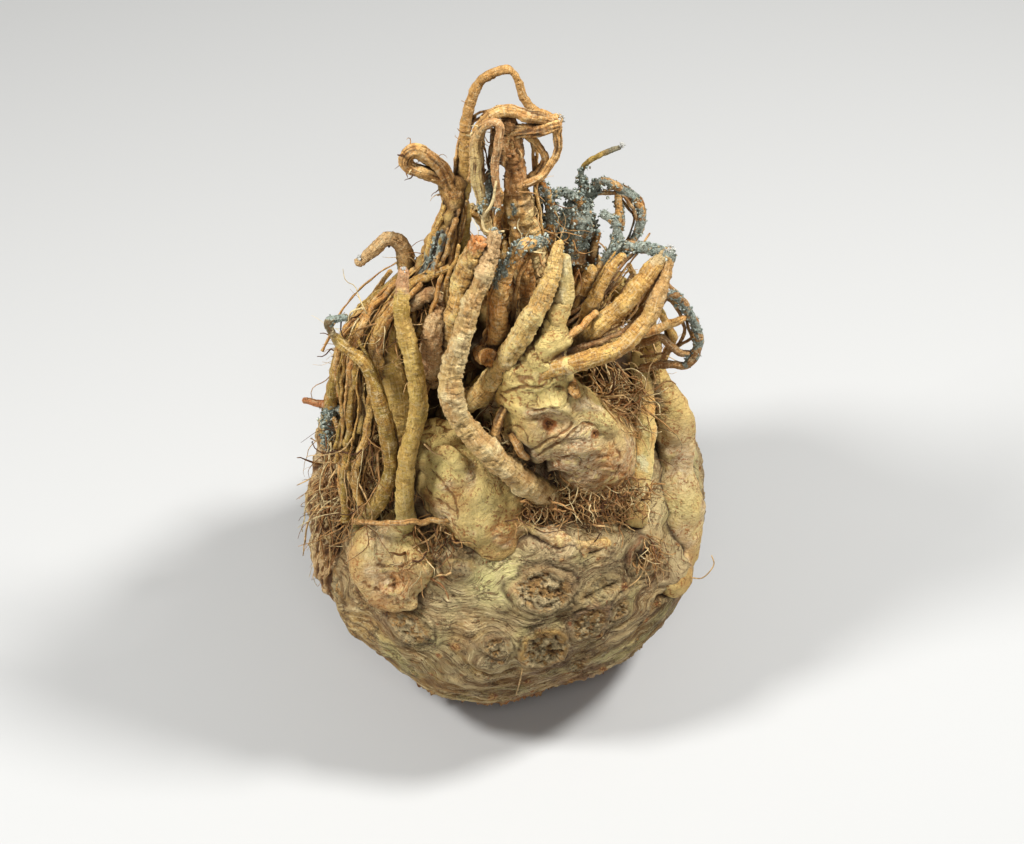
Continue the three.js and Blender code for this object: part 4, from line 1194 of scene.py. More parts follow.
slimRoots = {
    "tangleCore": ("reddish", [[22, 1, 184, 4.2], [24, 6, 198, 4.2], [26, 12, 205, 2.6]]),
    "leafBud": ("strap", [[-1, -36, 150, 1.2], [-3, -40, 148, 1.9], [-4, -42, 144, 1.9], [-3, -42, 140, 1]]),
    "flapBud": ("strap", [[1, -40, 142, 1], [3, -42.4, 139.5, 1.7], [5.5, -43.6, 136, 1.6],
        [7.5, -42.5, 132.5, 0.7]]),
    "roundBud": ("orange", [[20, -31, 158, 2], [22, -36, 159, 2.4], [23, -38.5, 159, 1.7]]),
    "fillLeft": ("orange", [[14, 0, 178, 2.6], [15, 2, 192, 2.4], [14, 3, 206, 2], [11, 4, 216, 1.5]]),
    "fillRight": ("reddish", [[18, 1, 178, 2.8], [19, 3, 192, 2.6], [21, 6, 204, 2]]),
    "fillArch": ("reddish", [[12, 4, 207, 1.5], [17, 5, 210, 1.7], [22, 7, 207, 1.7], [25, 6, 200, 1.5]]),
    "stalkBehind": ("reddish", [[-6, 3, 196, 1.6], [-6, 3, 212, 1.5], [-5, 3, 226, 1.4], [-4, 4, 238, 1.2]]),
    "stalkFront": ("orange", [[-3, -3, 194, 1.6], [-3, -4, 208, 1.4], [-2, -5, 219, 1.1]]),
    "twig": ("olive", [[26, 12, 202, 1.3], [25, 17, 210, 1], [31, 17, 216, 1], [37, 18, 219, 0.9]]),
    "tangleArch": ("reddish", [[26, 11, 203, 1.7], [32, 11, 210, 1.6], [37, 11, 207, 1.6],
        [42, 11, 203, 1.6], [45, 9, 197, 1.6], [43, 6, 190, 1.5], [37, 3, 183, 1.5], [30, 0, 178, 1.5]]),
    "tanglePost": ("orange", [[37, 11, 206, 1.3], [37, 6, 198, 1.3], [35, 1, 190, 1.3], [30, -4, 180, 1.3]]),
    "tangleTwin": ("reddish", [[36, -3, 194, 1.6], [44, -5, 195, 2], [49, -8, 196, 2], [53, -12, 199, 1.8]]),
    "rightTangle": ("reddish", [[32, 3, 140, 2.4], [46, 7, 148, 1.8], [51, 3, 160, 1.7], [56, 0, 170, 1.6],
        [60, -1, 165, 1.7], [64, -2, 157, 1.7], [66, -4, 149, 1.7], [62, -7, 142, 1.7], [55, -6, 141, 1.6],
        [40, -2, 132, 1.8]]),
    "rightTangleInner": ("reddish", [[32, 0, 138, 2], [44, 2, 143, 1.6], [49, -2, 148, 1.5],
        [54, -3, 151, 1.5], [59, -5, 146, 1.5], [63, -6, 146, 1.2]]),
    "twinSpur": ("orange", [[42, -27, 176, 1.8], [51, -24, 176, 1.5], [58, -22, 179, 1.3]]),
    "slimRight": ("orange", [[9, -31, 168, 1.8], [20, -31, 178, 1.4], [29, -25, 184, 1.3]]),
    "leftSpur": ("strap", [[-48, -12, 124, 2], [-57, -14, 127, 1.5], [-65, -13, 128, 1.4],
        [-71, -12, 128, 1.2]]),
    "leftStrand": ("orange", [[-57, -32, 96, 1.7], [-58, -33, 112, 1.6], [-55, -30, 128, 1.6],
        [-53, -27, 145, 1.5], [-52, -22, 163, 1.3], [-46, -13, 173, 1.3], [-35, -4, 180, 1.3],
        [-24, 0, 186, 1.2]]),
    "leftStrandOuter": ("orange", [[-58, -14, 134, 1.4], [-58, -14, 155, 1.3], [-53, -8, 163, 1.3],
        [-45, -3, 169, 1.3], [-33, 1, 178, 1.3], [-24, 2, 184, 1.2]]),
    "leftStrandInner": ("tan", [[-50, -37, 98, 1.6], [-53, -38, 118, 1.5], [-49, -34, 132, 1.4],
        [-46, -25, 150, 1.4], [-42, -18, 168, 1.4], [-33, -11, 182, 1.3], [-22, -7, 190, 1.2]]),
    "vine": ("tan", [[-42, -22, 152, 2.2], [-45, -20, 166, 2.1], [-41, -18, 174, 1.9], [-36, -14, 180, 1.8],
        [-29, -10, 185, 1.8], [-20, -8, 188, 1.5]]),
    "knot": ("warty", [[-36, -6, 172, 2.6], [-32, -12, 177, 3], [-26, -13, 181, 2.8], [-22, -12, 176, 2.2]]),
    "mouldArc": ("reddish", [[31, 2, 204, 1.4], [35, 0, 202, 1.4], [37, -2, 198, 1.3], [37, -4, 193, 1.2]]),
    "mouldPost": ("reddish", [[37, 10, 202, 1.2], [38, 6, 197, 1.2], [36, 2, 192, 1.2], [33, -2, 188, 1.1]]),
    "rightTopDrop": ("orange", [[42, 11, 203, 1.1], [45, 9, 199, 1], [44, 7, 194, 1], [42, 5, 189, 0.9]]),
    "leftSkirt": ("hook", [[-57, -38, 95, 1.5], [-57, -36, 112, 1.4], [-54, -30, 138, 1.3],
        [-51, -24, 161, 1.1]]),
    "leftSkirtOuter": ("tan", [[-51, -42, 108, 1.2], [-55, -36, 118, 1.2], [-60, -26, 134, 1]]),
    "crossTwig": ("strap", [[-53, -49, 107, 0.9], [-37, -54.5, 112.5, 1.1], [-23, -51.5, 110.5, 1],
        [-18, -50, 108, 0.6]]),
}
# what differs from the look at a root's ends: foot and tip colours with the share of the length they take
rootEnds = {
    "frontCurl": {"tip": (paint(222, 182, 128), 0.10)},
    "sawnStub": {"tip": (paint(214, 132, 66), 0.045), "flat": True, "hollow": 1.4},
    "facingStub": {"tip": (paint(222, 150, 74), 0.12), "flat": True, "hollow": 1.6},
    "leftLong": {"tip": (paint(206, 152, 113), 0.06), "foot": (paint(206, 190, 116), 0.25)},
    "leftHook": {"tip": (paint(96, 92, 74), 0.12), "foot": (paint(186, 170, 97), 0.12)},
    "bentStub": {"tip": (paint(234, 192, 134), 0.42), "foot": (paint(176, 152, 78), 0.5)},
    "tallTrunk": {"tip": (paint(190, 132, 76), 0.3), "foot": (paint(210, 176, 106), 0.4)},
    "oliveStrap": {"tip": (paint(206, 152, 86), 0.55), "foot": (paint(178, 156, 81), 0.3)},
    "foldedStrap": {"tip": (paint(206, 156, 104), 0.5), "foot": (paint(210, 188, 124), 0.45)},
    "twinUpper": {"tip": (paint(212, 190, 141), 0.10)},
    "twinLower": {"tip": (paint(206, 160, 99), 0.3)},
    "yellowRight": {"tip": (paint(206, 176, 106), 0.25), "foot": (paint(232, 206, 134), 0.2)},
    "twig": {"tip": (paint(128, 134, 118), 0.25)},
    "rearLeftStub": {"tip": (paint(182, 100, 42), 0.1), "flat": True, "hollow": 1.2},
    "rearRightStub": {"tip": (paint(182, 100, 42), 0.1), "flat": True, "hollow": 1.2},
    "leftSpur": {"tip": (paint(204, 130, 86), 0.4), "foot": (paint(120, 104, 74), 0.3)},
}
# roots that are stouter or thinner than their route says, and how much
stouter = {
    "oliveStrap": 0.95, "upperStrap": 1.3, "innerStrap": 1.4, "leftLoop": 1.3, "rightWisp": 1.1,
    "innerWisp": 1.2, "tallTrunk": 1.16, "twinUpper": 1.08, "twinLower": 1.08, "yellowRight": 1.65,
    "orangeSlim": 1.2, "sawnStub": 1.05,
}
companionLook = {
    "leave": 0.35,  # smaller roots leave within this first share of the root they grow beside
    "end": 0.62,  # and end past this share of it
    "knot": 11,  # from knot to knot of their routes
}
# smaller roots beside another: (root, how many, thinnest, thickest, how far off, way off, looks)
companions = [
    ("leftStrand", 9, 0.45, 1.1, 4.0, (0.5, 1.5, 0), ("tan", "hook", "orange")),
    ("leftStrandInner", 8, 0.45, 1.2, 4.0, (0.5, 2.5, 0), ("tan", "olive", "orange")),
    ("leftStrandOuter", 8, 0.45, 1.2, 4.0, (1, 2, 0), ("hook", "orange", "olive")),
    ("vine", 6, 0.6, 1.6, 4.0, (0, 3, 0), ("tan", "orange", "strap")),
    ("outerLeft", 7, 0.5, 1.6, 4.5, (2, 3, 0), ("hook", "olive", "tan")),
    ("behindLeft", 5, 0.8, 2.6, 6.0, (-2, 5, 0), ("hook", "olive", "orange")),
    ("leftHook", 4, 0.5, 1.3, 4.5, (0, 5, 0), ("hook", "orange")),
    ("sawnStub", 4, 1.0, 2.8, 6.0, (-3, 8, -4), ("orange", "tan", "warty")),
    ("frontSlant", 4, 0.8, 2.4, 6.0, (0, 10, -2), ("orange", "tan", "hook")),
    ("innerBrown", 7, 0.8, 2.4, 6.5, (0, 5, -2), ("orange", "tan", "sawn")),
    ("orangeSlim", 3, 0.6, 1.4, 4.0, (0, 5, 0), ("orange", "strap")),
    ("uprightStub", 7, 0.7, 2.8, 6.0, (3, 2, -2), ("orange", "tan", "reddish")),
    ("lumpRight", 6, 0.7, 2.6, 6.0, (4, 3, -3), ("tan", "orange", "slant")),
    ("stubRight", 5, 0.6, 1.8, 5.0, (0, 5, -3), ("tan", "orange")),
    ("twinUpper", 6, 0.5, 1.8, 5.0, (-2, 7, -3), ("tan", "orange", "reddish")),
    ("twinLower", 4, 0.4, 1.2, 5.0, (0, 7, -2), ("orange", "reddish")),
    ("tallTrunk", 7, 0.6, 2.4, 6.5, (0, 4, -3), ("orange", "tan", "strap")),
    ("tallTrunk", 5, 0.6, 1.6, 3.2, (7, 3, -12), ("orange", "tan", "strap")),
    ("sawnStub", 3, 0.6, 1.3, 3.0, (-6, 2, -6), ("orange", "tan", "strap")),
    ("oliveStrap", 3, 0.6, 1.3, 2.2, (-2, -2, -24), ("tan", "olive", "strap")),
    ("rightTangle", 4, 0.4, 0.9, 3.0, (-3, 2, -1), ("reddish", "orange")),
    ("tangleArch", 4, 0.35, 0.8, 2.6, (-1, 0, -2), ("reddish", "orange")),
    ("yellowRight", 3, 0.5, 1.1, 3.5, (-4, 7, 0), ("orange", "tan", "yellow")),
    ("rearMiddle", 6, 0.7, 2.4, 9.0, (0, -2, -4), ("rear", "orange", "tan")),
    ("rearLeft", 6, 0.7, 2.4, 8.0, (-3, -2, -4), ("rear", "olive", "tan")),
    ("rearRight", 6, 0.7, 2.4, 8.0, (3, -2, -4), ("rear", "orange", "tan")),
    ("rearLeftOuter", 5, 0.6, 2.0, 7.0, (-2, 0, -4), ("olive", "hook", "tan")),
    ("rearRightOuter", 5, 0.6, 2.0, 7.0, (2, 0, -4), ("olive", "hook", "tan")),
]
# strips of root that run up the trunks: (trunk, how many, looks)
risingStrips = [
    ("leftCore", 20, ("tan", "orange", "strap", "hook")),
    ("middleTrunk", 18, ("orange", "tan", "strap", "sawn")), ("rightCore", 10, ("orange", "tan", "reddish")),
    ("rearInner", 11, ("rear", "orange", "tan")), ("rearInnerRight", 10, ("rear", "orange", "tan")),
]


def stripRoots():
    chance = random.Random(8)
    found = {}
    for name, count, kinds in risingStrips:
        places, radii, _ = smoothRoute(trunks[name], 1.0)
        ahead = np.gradient(places, axis=0)
        side = unit(np.cross(ahead, trunkLook["across"]))
        up = unit(np.cross(ahead, side))
        for number in range(count):
            turn, drift = chance.uniform(0, 2 * math.pi), chance.gauss(0, 0.5)
            start, stop = chance.uniform(0.2, 0.5), chance.uniform(0.8, 1.0)
            radius = chance.uniform(0.55, 1.6)
            route = []
            for share in np.linspace(start, stop, 6):
                step = min(int(share * len(places)), len(places) - 1)
                angle = turn + drift * share + chance.gauss(0, 0.12)
                out = radii[step] * 0.98 + 0.2 * radius + chance.gauss(0, 0.5)
                at = places[step] + out * (math.cos(angle) * side[step] + math.sin(angle) * up[step])
                route.append([*at, radius * (1.25 - 0.6 * share)])
            found[f"{name}{number}"] = (chance.choice(kinds), route)
    return found


def companionRoots():
    chance = random.Random(5)
    found = stripRoots()
    hosts = {**frontRoots, **rearRoots, **slimRoots}
    for name, count, thin, thick, off, way, kinds in companions:
        places, _, lengths = smoothRoute(hosts[name][1], 1.0)
        for number in range(count):
            start = chance.uniform(0.0, companionLook["leave"]) * lengths[-1]
            stop = chance.uniform(companionLook["end"], 1.0) * lengths[-1]
            knots = max(4, int((stop - start) / companionLook["knot"]))
            shift = np.array([chance.gauss(0, off * 0.6) for _ in range(3)]) + np.array(way)
            shift[2] *= 0.5
            radius = thin + (thick - thin) * chance.random() ** 1.6
            route = []
            for step, length in enumerate(np.linspace(start, stop, knots)):
                at = [np.interp(length, lengths, places[:, axis]) for axis in range(3)]
                jitter = [chance.gauss(0, 0.13 * off) for _ in range(3)]
                taper = 1.1 - 0.45 * step / (knots - 1)
                route.append([*(np.array(at) + shift + jitter), radius * taper])
            found[f"{name}{number}"] = (chance.choice(kinds), route)
    return found


rootGroups = {
    # name: (roots, step along, sides, how far they wander)
    "frontRoots": (frontRoots, 0.62, 28, 0.5),
    "rearRoots": (rearRoots, 0.85, 28, 0.8),
    "slimRoots": (slimRoots, 0.6, 14, 0.9),
    "companionRoots": (companionRoots(), 1.85, 8, 1.6),
}


def rootTube(name, route, step, reach, seed):
    # the rings of one root: places, radii, and how far along the root they lie
    places, radii, lengths = smoothRoute(route, step)
    mean = radii.mean()
    places = wander(places, lengths, min(reach, 0.25 + 0.5 * mean), (5 + 3 * radii[0]) * 0.6, seed)
    along = np.column_stack([lengths / (2.2 * mean), lengths * 0, lengths * 0])
    uneven = 1 + 0.10 * cloud(along, 2, seed + 1) + 0.05 * cloud(along * 2.7, 2, seed + 2)
    radii = radii * uneven * stouter.get(name, 1)
    radii = radii * (1 + 0.3 * np.exp(-lengths / (1.5 * radii[0])))
    return roundedEnd(places, radii, lengths, 0.03 if rootEnds.get(name, {}).get("flat") else 0.8)


def dressRoot(look, ends, points, normals, turn, lengths, radii, endRadius, seed):
    # how far one root's wrinkles lift each of its vertices, and the vertices' colours and the painted shade
    # in their furrows
    ring = np.stack([np.cos(turn), np.sin(turn), lengths + 0.9 * cloud(points / 5, 2, seed + 15)], 1)
    body = np.median(radii)
    fat = np.clip(body / 3.2, 0.35, 1.3)
    pitch = look["pitch"]
    valleys = line(cloud(ring * np.array([0.65, 0.65, 1 / (1.2 * pitch)]), 2, seed), 0.13)
    smallValleys = line(cloud(ring * np.array([1.5, 1.5, 1 / (0.55 * pitch)]), 2, seed + 3), 0.15)
    creases = line(cloud(ring * np.array([1.5, 1.5, 0.045]), 2, seed + 5), 0.12)
    smallCreases = line(cloud(ring * np.array([3.0, 3.0, 0.10]), 2, seed + 6), 0.14)
    lumps = cloud(points / (1.6 * body + 1.5), 2, seed)
    grit = cloud(points / 1.1, 3, seed)
    fullness = ease(0.0, 0.35, radii / body)
    rise = (
        look["lump"] * lumps * 1.2
        - look["ring"] * valleys - look["ring"] * 0.4 * smallValleys
        - look["strand"] * creases - look["strand"] * 0.5 * smallCreases
        + (look["grit"] + 0.08) * grit
    ) * 1.25 * fat * fullness
    if "hollow" in ends:
        last = lengths > lengths[-1] - 0.03 * radii - 0.2
        rise -= ends["hollow"] * ease(0.8, 0.35, radii / endRadius) * last * (1 + 0.3 * grit)
    points = points + normals * rise[:, None]

    # painted shade in the ring valleys and creases
    creaseShade = np.maximum.reduce([
        valleys * min(1, look["ring"] * 1.5), smallValleys * min(1, look["ring"] * 0.9),
        creases * min(1, look["strand"] * 2.2), smallCreases * min(1, look["strand"] * 1.4),
    ]) * fullness * (0.45 + 0.55 * ease(-0.4, 0.3, cloud(points / 7, 2, seed + 12)))
    mottle = ease(-0.25, 0.45, cloud(points / 5.5, 3, seed + 8))[:, None]
    # painted highlight: the raised lumps and grit take the lighter colour
    bright = ease(0.0, 0.5, lumps + 0.6 * grit)[:, None]
    tint = look["skin"] + (look["blotch"] - look["skin"]) * mottle * 0.75
    tint = tint + (look["light"] - tint) * bright * 0.8
    share = lengths / lengths[-1] + 0.05 * cloud(points / 4, 2, seed + 9)
    if "foot" in ends:
        colour, reach = ends["foot"]
        tint += (colour - tint) * ease(reach + 0.12, reach - 0.12, share)[:, None] * 0.85
    if "tip" in ends:
        colour, reach = ends["tip"]
        tint += (colour - tint) * ease(1 - reach * 1.3, 1 - reach * 0.7, share)[:, None] * 0.85
    tint += (look["dark"] - tint) * creaseShade[:, None] * 0.9
    return points, np.minimum(tint * 1.07, 0.92), creaseShade


def makeRoots(pieceName, finish):
    group, step, sides, reach = rootGroups[pieceName]
    step, sides = step * coarse, int(sides / coarse) // 4 * 4
    rings = [rootTube(name, route, step, reach, 5.0 + 9.1 * number)
             for number, (name, (_, route)) in enumerate(group.items())]
    mesh = tubes([(places, radii) for places, radii, _ in rings], sides)
    points, normals = readPoints(mesh), readNormals(mesh)
    tints, creaseShades, barrels = [], [], []
    start = 0
    for number, (name, (kind, _)) in enumerate(group.items()):
        _, radii, lengths = rings[number]
        turn = np.tile(np.arange(sides) / sides * 2 * math.pi, len(lengths))
        endRadius = radii[-9]
        radii, lengths = np.repeat(radii, sides), np.repeat(lengths, sides)
        rows = slice(start, start + len(lengths))
        start += len(lengths)
        look = rootLooks[kind]
        points[rows], tint, creaseShade = dressRoot(
            look, rootEnds.get(name, {}), points[rows], normals[rows], turn, lengths, radii, endRadius,
            11.7 * number + len(group),
        )
        tints.append(tint)
        creaseShades.append(np.stack([creaseShade, creaseShade * 0 + look["cleanAndLit"], creaseShade * 0], 1))
        barrels.append(np.stack([np.cos(turn) * radii, np.sin(turn) * radii, lengths + 60 * number], 1))
    writePoints(mesh, points)
    creaseShades = np.vstack(creaseShades)
    # painted shade in the hollows between the wrinkles
    sunk = ease(0.05, 0.45, hollows(mesh, readPoints(mesh), readNormals(mesh), 2)) * 0.6
    creaseShades[:, 0] = np.maximum(creaseShades[:, 0], sunk)
    storeField(mesh, "tint", np.vstack(tints))
    # the painted crease shade, and how plain each root is
    storeField(mesh, "bark", creaseShades)
    storeField(mesh, "barrel", np.vstack(barrels))
    return finishPiece(pieceName, mesh, finish)


barkLook = {
    "darkest": paint(58, 36, 16),
    "freckle": paint(120, 74, 35),
    "dust": paint(240, 218, 170),
    "ash": paint(150, 138, 106),
}


def barkFinish():
    finish = Finish("rootBark", barkLook)
    place = finish.place()
    creaseShade, cleanAndLit, _ = finish.shares("bark")
    # the marks and the painted crease shade are laid less thickly on the plainer roots
    dirtAndShade = finish.maths("SUBTRACT", 1.0, cleanAndLit)
    barrel = finish.read("barrel", "Vector")
    rings = finish.noisy(finish.scaled(barrel, (0.35, 0.35, 1.5)), 1.25, 4, 0.62, 0.3)
    strands = finish.noisy(finish.scaled(barrel, (1.6, 1.6, 0.16)), 1.1, 3, 0.6)
    medium = finish.noisy(place, 3.2, 3)
    speck = finish.noisy(place, 0.9, 2)
    grit = finish.noisy(place, 0.38, 2, 0.6)
    layers = (
        (rings, 0.52, 0.68, 0.5, "dust"), (rings, 0.46, 0.32, 0.6, "freckle"),
        (strands, 0.46, 0.32, 0.6, "freckle"), (strands, 0.55, 0.68, 0.5, "dust"),
        (medium, 0.60, 0.74, 0.4, "ash"), (speck, 0.61, 0.68, 0.5, "freckle"),
        (speck, 0.40, 0.32, 0.45, "dust"), (grit, 0.40, 0.30, 0.45, "darkest"),
        # painted shade in the creases and hollows
        (creaseShade, 0.25, 0.8, 0.75, "darkest"),
    )
    colour = finish.read("tint", "Color")
    for pattern, low, high, share, shade in layers:
        share = finish.times(finish.between(pattern, low, high, 0, share), dirtAndShade)
        colour = finish.lay(colour, (share, shade))
    # painted shade in the gaps, laid less thickly on the plainer roots
    gapShadeKept = finish.between(cleanAndLit, 1.0, 0.3, 0.35, 1.0)
    gapShaded = finish.times(finish.between(finish.read("gapShade"), 0.38, 0.88, 0, 0.9), gapShadeKept)
    colour = finish.lay(colour, mouldLayer(finish, place), (gapShaded, "darkest"))
    roughness = finish.between(medium, 0.3, 0.7, 0.62, 0.85)
    return finish.close(colour, roughness, [(rings, 0.95), (strands, 0.6), (speck, 0.45), (grit, 0.36)], 0.35)


# painted shade in the gaps

gapShadeLook = {
    "rays": 22,
    "reach": 13,  # how far each ray looks for another surface
    "lift": 0.35,  # how far off the skin it starts
    "flat": 0.15,  # rays flatter to the skin than this are left out
    "large": 40000,  # on a mesh with more vertices than this each second one copies the one before it
}
# hollows that are given the full painted shade, each with its radius
gapShadeSpots = [
    (34, -9, 143, 9), (39, -7, 134, 8), (44, -6, 125, 8), (46, -43, 84, 5), (20, -38, 105, 9),
    (8, -42, 105, 6), (34, -34, 102, 8), (-3, -30, 141, 7), (-1, -34, 122, 6), (44, -20, 112, 8),
    (-40, -40, 110, 7), (-52, -34, 108, 7),
]


def storeGapShade(pieces, tree):
    # the share of short rays from each vertex that meet another surface: the painted shade is darkest where
    # it is high
    rays, count = [], gapShadeLook["rays"]
    for step in range(count):
        turn, rise = 2.4 * step, 1 - 2 * (step + 0.5) / count
        flat = math.sqrt(1 - rise * rise)
        rays.append(Vector((math.cos(turn) * flat, math.sin(turn) * flat, rise)))
    for piece in pieces:
        mesh = piece.data
        points, normals = readPoints(mesh), readNormals(mesh)
        shares = np.zeros(len(points))
        every = 2 if len(points) > gapShadeLook["large"] else 1
        for index in range(0, len(points), every):
            normal = Vector(normals[index])
            start = Vector(points[index]) * mm + normal * gapShadeLook["lift"] * mm
            faced = [ray for ray in rays if ray.dot(normal) > gapShadeLook["flat"]]
            met = sum(tree.ray_cast(start, ray, gapShadeLook["reach"] * mm)[0] is not None for ray in faced)
            shares[index] = met / max(len(faced), 1)
        if every == 2:
            shares[1::2] = shares[0::2][:len(shares[1::2])]
        shares = np.maximum(shares, 0.95 * bells(points, gapShadeSpots))
        storeField(mesh, "gapShade", spread(mesh, shares, 2))


def surfaceOf(pieces):
    # what the fine growth needs of the skin: its nearest place and the way out there
    mesh = joined([piece.data for piece in pieces])
    return surfaceTree(mesh), pointTree(readPoints(mesh)), readNormals(mesh)


def nearestSkin(surface, place):
    tree, corners, normals = surface
    near = tree.find_nearest(place * mm)[0] / mm
    return near, Vector(normals[corners.find(near)[1]])


# fine rootlets

hairLook = {
    "thin": 0.13,
    "thick": 0.30,
    "stout": (0.13, 2.1),  # the share of hairs that are stouter, and how much
    "stray": 3.0,  # how far a hair may reach past the solid's own box
    "colours": (
        paint(186, 140, 84), paint(146, 100, 56), paint(214, 176, 118), paint(92, 58, 32),
        paint(232, 208, 152),
    ),
    "shade": paint(60, 36, 16),
    "bright": paint(226, 200, 137),
    "gap": 0.25,  # kept between a hair and the skin under it
    "stride": 1.9,
    "share": 0.86,  # how many of the hairs named below are tried
    "often": (34, 22, 22, 10, 12),  # how often each colour comes
}
# tangles: middle, reach each way, how many, length, curl, way they tend to run
hairNests = [
    ((24, -39, 107), (21, 7, 6), 430, 13, 1.0, (0.2, -0.2, 0.1)),
    ((6, -44, 106), (8, 4, 6), 90, 10, 1.0, (0.4, -0.3, 0.1)),
    ((36, -13, 129), (8, 10, 17), 310, 19, 0.8, (0.1, -0.3, -0.5)),
    ((39, -32, 104), (7, 6, 8), 120, 12, 1.0, (0.1, -0.4, -0.1)),
    ((50, -42, 83), (7, 5, 7), 60, 10, 0.9, (0.1, -0.4, -0.4)),
    ((-3, -22, 122), (9, 10, 10), 110, 15, 1.0, (0.2, -0.4, -0.3)),
    ((6, -14, 150), (14, 9, 10), 60, 12, 0.9, (0.1, -0.4, -0.3)),
    ((-50, -28, 112), (9, 12, 22), 220, 26, 0.55, (-0.1, -0.2, -1.0)),
    ((-64, -20, 92), (6, 14, 22), 150, 24, 0.5, (-0.3, -0.1, -1.0)),
    ((-38, -26, 124), (8, 6, 16), 60, 16, 0.7, (-0.1, -0.4, -0.6)),
    ((-42, -14, 164), (12, 9, 12), 90, 16, 0.8, (-0.3, -0.3, -0.5)),
    ((-26, -8, 176), (8, 8, 14), 60, 13, 0.8, (-0.2, -0.4, -0.2)),
    ((-24, -48, 100), (8, 5, 8), 70, 13, 1.0, (0.1, -0.5, -0.5)),
    ((-33, -56, 92), (5, 4, 8), 30, 10, 1.0, (0.1, -0.5, -0.5)),
    ((30, -8, 166), (10, 10, 10), 70, 14, 0.9, (0.2, -0.3, -0.4)),
    ((10, -4, 200), (10, 8, 16), 60, 12, 0.8, (0.1, -0.4, -0.2)),
    ((0, 40, 116), (36, 10, 14), 260, 18, 0.8, (0.0, 0.5, -0.5)),
    ((44, 14, 122), (10, 16, 14), 90, 17, 0.8, (0.4, 0.2, -0.5)),
    ((-52, 14, 118), (8, 16, 16), 90, 17, 0.8, (-0.4, 0.2, -0.5)),
    ((0, 22, 160), (24, 8, 16), 90, 14, 0.8, (0.0, 0.5, -0.4)),
    ((-6, 4, 236), (12, 6, 10), 60, 4, 1.0, (0.0, -0.2, 0.2)),
    ((-28, 4, 222), (7, 4, 8), 30, 3.5, 1.0, (0.0, -0.2, 0.2)),
]
# single rootlets that stand out from the rest
looseHairs = [
    [[-3.5, -11, 229, 0.4], [-5, -14, 222, 0.5], [-8, -15, 216, 0.5], [-7, -16, 212, 0.5],
     [-1, -15, 211, 0.4]],
    [[9, -29, 162, 0.45], [13, -34, 160, 0.4], [17, -37, 163, 0.35]],
    [[66, -40, 66, 0.35], [70, -41, 67, 0.3], [74, -39, 72, 0.25], [73, -38, 76, 0.2]],
    [[-66, -30, 96, 0.35], [-71, -32, 88, 0.3], [-73, -34, 78, 0.25], [-74, -33, 70, 0.2]],
    [[-67, -24, 104, 0.35], [-72, -24, 100, 0.3], [-75, -24, 98, 0.2]],
    [[6, -69, 60, 0.4], [5, -72, 52, 0.35], [4, -71.5, 44, 0.3], [3, -70, 36, 0.2]],
    [[36, -56, 78, 0.4], [42, -53, 76, 0.35], [47, -51, 80, 0.3], [49, -48, 88, 0.25]],
    [[24, -58, 82, 0.35], [22, -60, 76, 0.3], [21, -63, 70, 0.25]],
    [[-52, -38, 116, 0.35], [-49, -43, 113, 0.35], [-47, -45, 106, 0.3], [-49, -46, 98, 0.25]],
    [[-18, -40, 132, 0.4], [-24, -44, 136, 0.35], [-28, -45, 142, 0.3]],
]


def hairRoute(surface, spot, push, lean, length, curl, seed):
    # walks over the skin, turned by a noise, and is pushed back out where it would dip under
    gap = hairLook["gap"]
    place, normal = nearestSkin(surface, spot)
    way = (normal * 0.7 + Vector(lean) + push).normalized()
    steps = max(5, int(length / hairLook["stride"]))
    stride = length / steps
    route = [place.copy()]
    for step in range(steps):
        shift = noise.noise_vector(Vector((seed, step * 0.45, 0.0)))
        way = (way + shift * 1.5 * curl + Vector(lean) * 0.10).normalized()
        place = place + way * stride
        near, outward = nearestSkin(surface, place)
        if (place - near).dot(outward) < gap and (place - near).length < 5:
            place = near + outward * gap
            way = (place - route[-1]).normalized() if (place - route[-1]).length > 1e-4 else way
        if (place - route[-1]).length > 0.2:
            route.append(place.copy())
    return np.array([list(point) for point in route])


def insideBox(places):
    low, high = np.array(cadLow) / mm - hairLook["stray"], np.array(cadHigh) / mm + hairLook["stray"]
    low[2], high[2] = 0.3, high[2] + 2
    return np.all(places >= low) and np.all(places <= high)


def makeHair(finish, surface):
    chance = random.Random(21)
    stoutShare, muchStouter = hairLook["stout"]
    parts, tints = [], []
    for middle, reach, count, length, curl, lean in hairNests:
        for _ in range(int(hairLook["share"] * count / coarse)):
            spot = Vector([middle[axis] + chance.gauss(0, 0.55) * reach[axis] for axis in range(3)])
            push = Vector([chance.gauss(0, 0.5) for _ in range(3)])
            seed, size = chance.uniform(0, 500), chance.uniform(0.5, 1.35) * length
            thick = chance.uniform(hairLook["thin"], hairLook["thick"])
            thick *= muchStouter if chance.random() < stoutShare else 1
            tint = chance.choices(hairLook["colours"], hairLook["often"])[0] * chance.uniform(0.8, 1.15)
            places = hairRoute(surface, spot, push, lean, size, curl, seed)
            if len(places) > 3 and insideBox(places):
                parts.append((places, thick * np.linspace(1.15, 0.35, len(places))))
                tints.append(tint)
    for number, route in enumerate(looseHairs):
        parts.append(smoothRoute(route, 1.0)[:2])
        tints.append(hairLook["colours"][2 if number else 4])
    sides = 4
    mesh = tubes(parts, sides)
    spans = [np.tile(tint, (sides * len(places), 1)) for tint, (places, _) in zip(tints, parts)]
    storeField(mesh, "tint", np.vstack(spans))
    return finishPiece("rootlets", mesh, finish)


def hairFinish():
    finish = Finish("rootHair", hairLook)
    place = finish.place()
    along = finish.noisy(place, 2.2, 2)
    grit = finish.noisy(place, 0.5, 2)
    colour = finish.lay(
        finish.read("tint", "Color"), (along, 0.42, 0.66, 0.6, "shade"), (along, 0.6, 0.72, 0.35, "bright"),
    )
    return finish.close(colour, finish.between(grit, 0.3, 0.7, 0.6, 0.8), [(grit, 0.05)], 0.35)


# mould

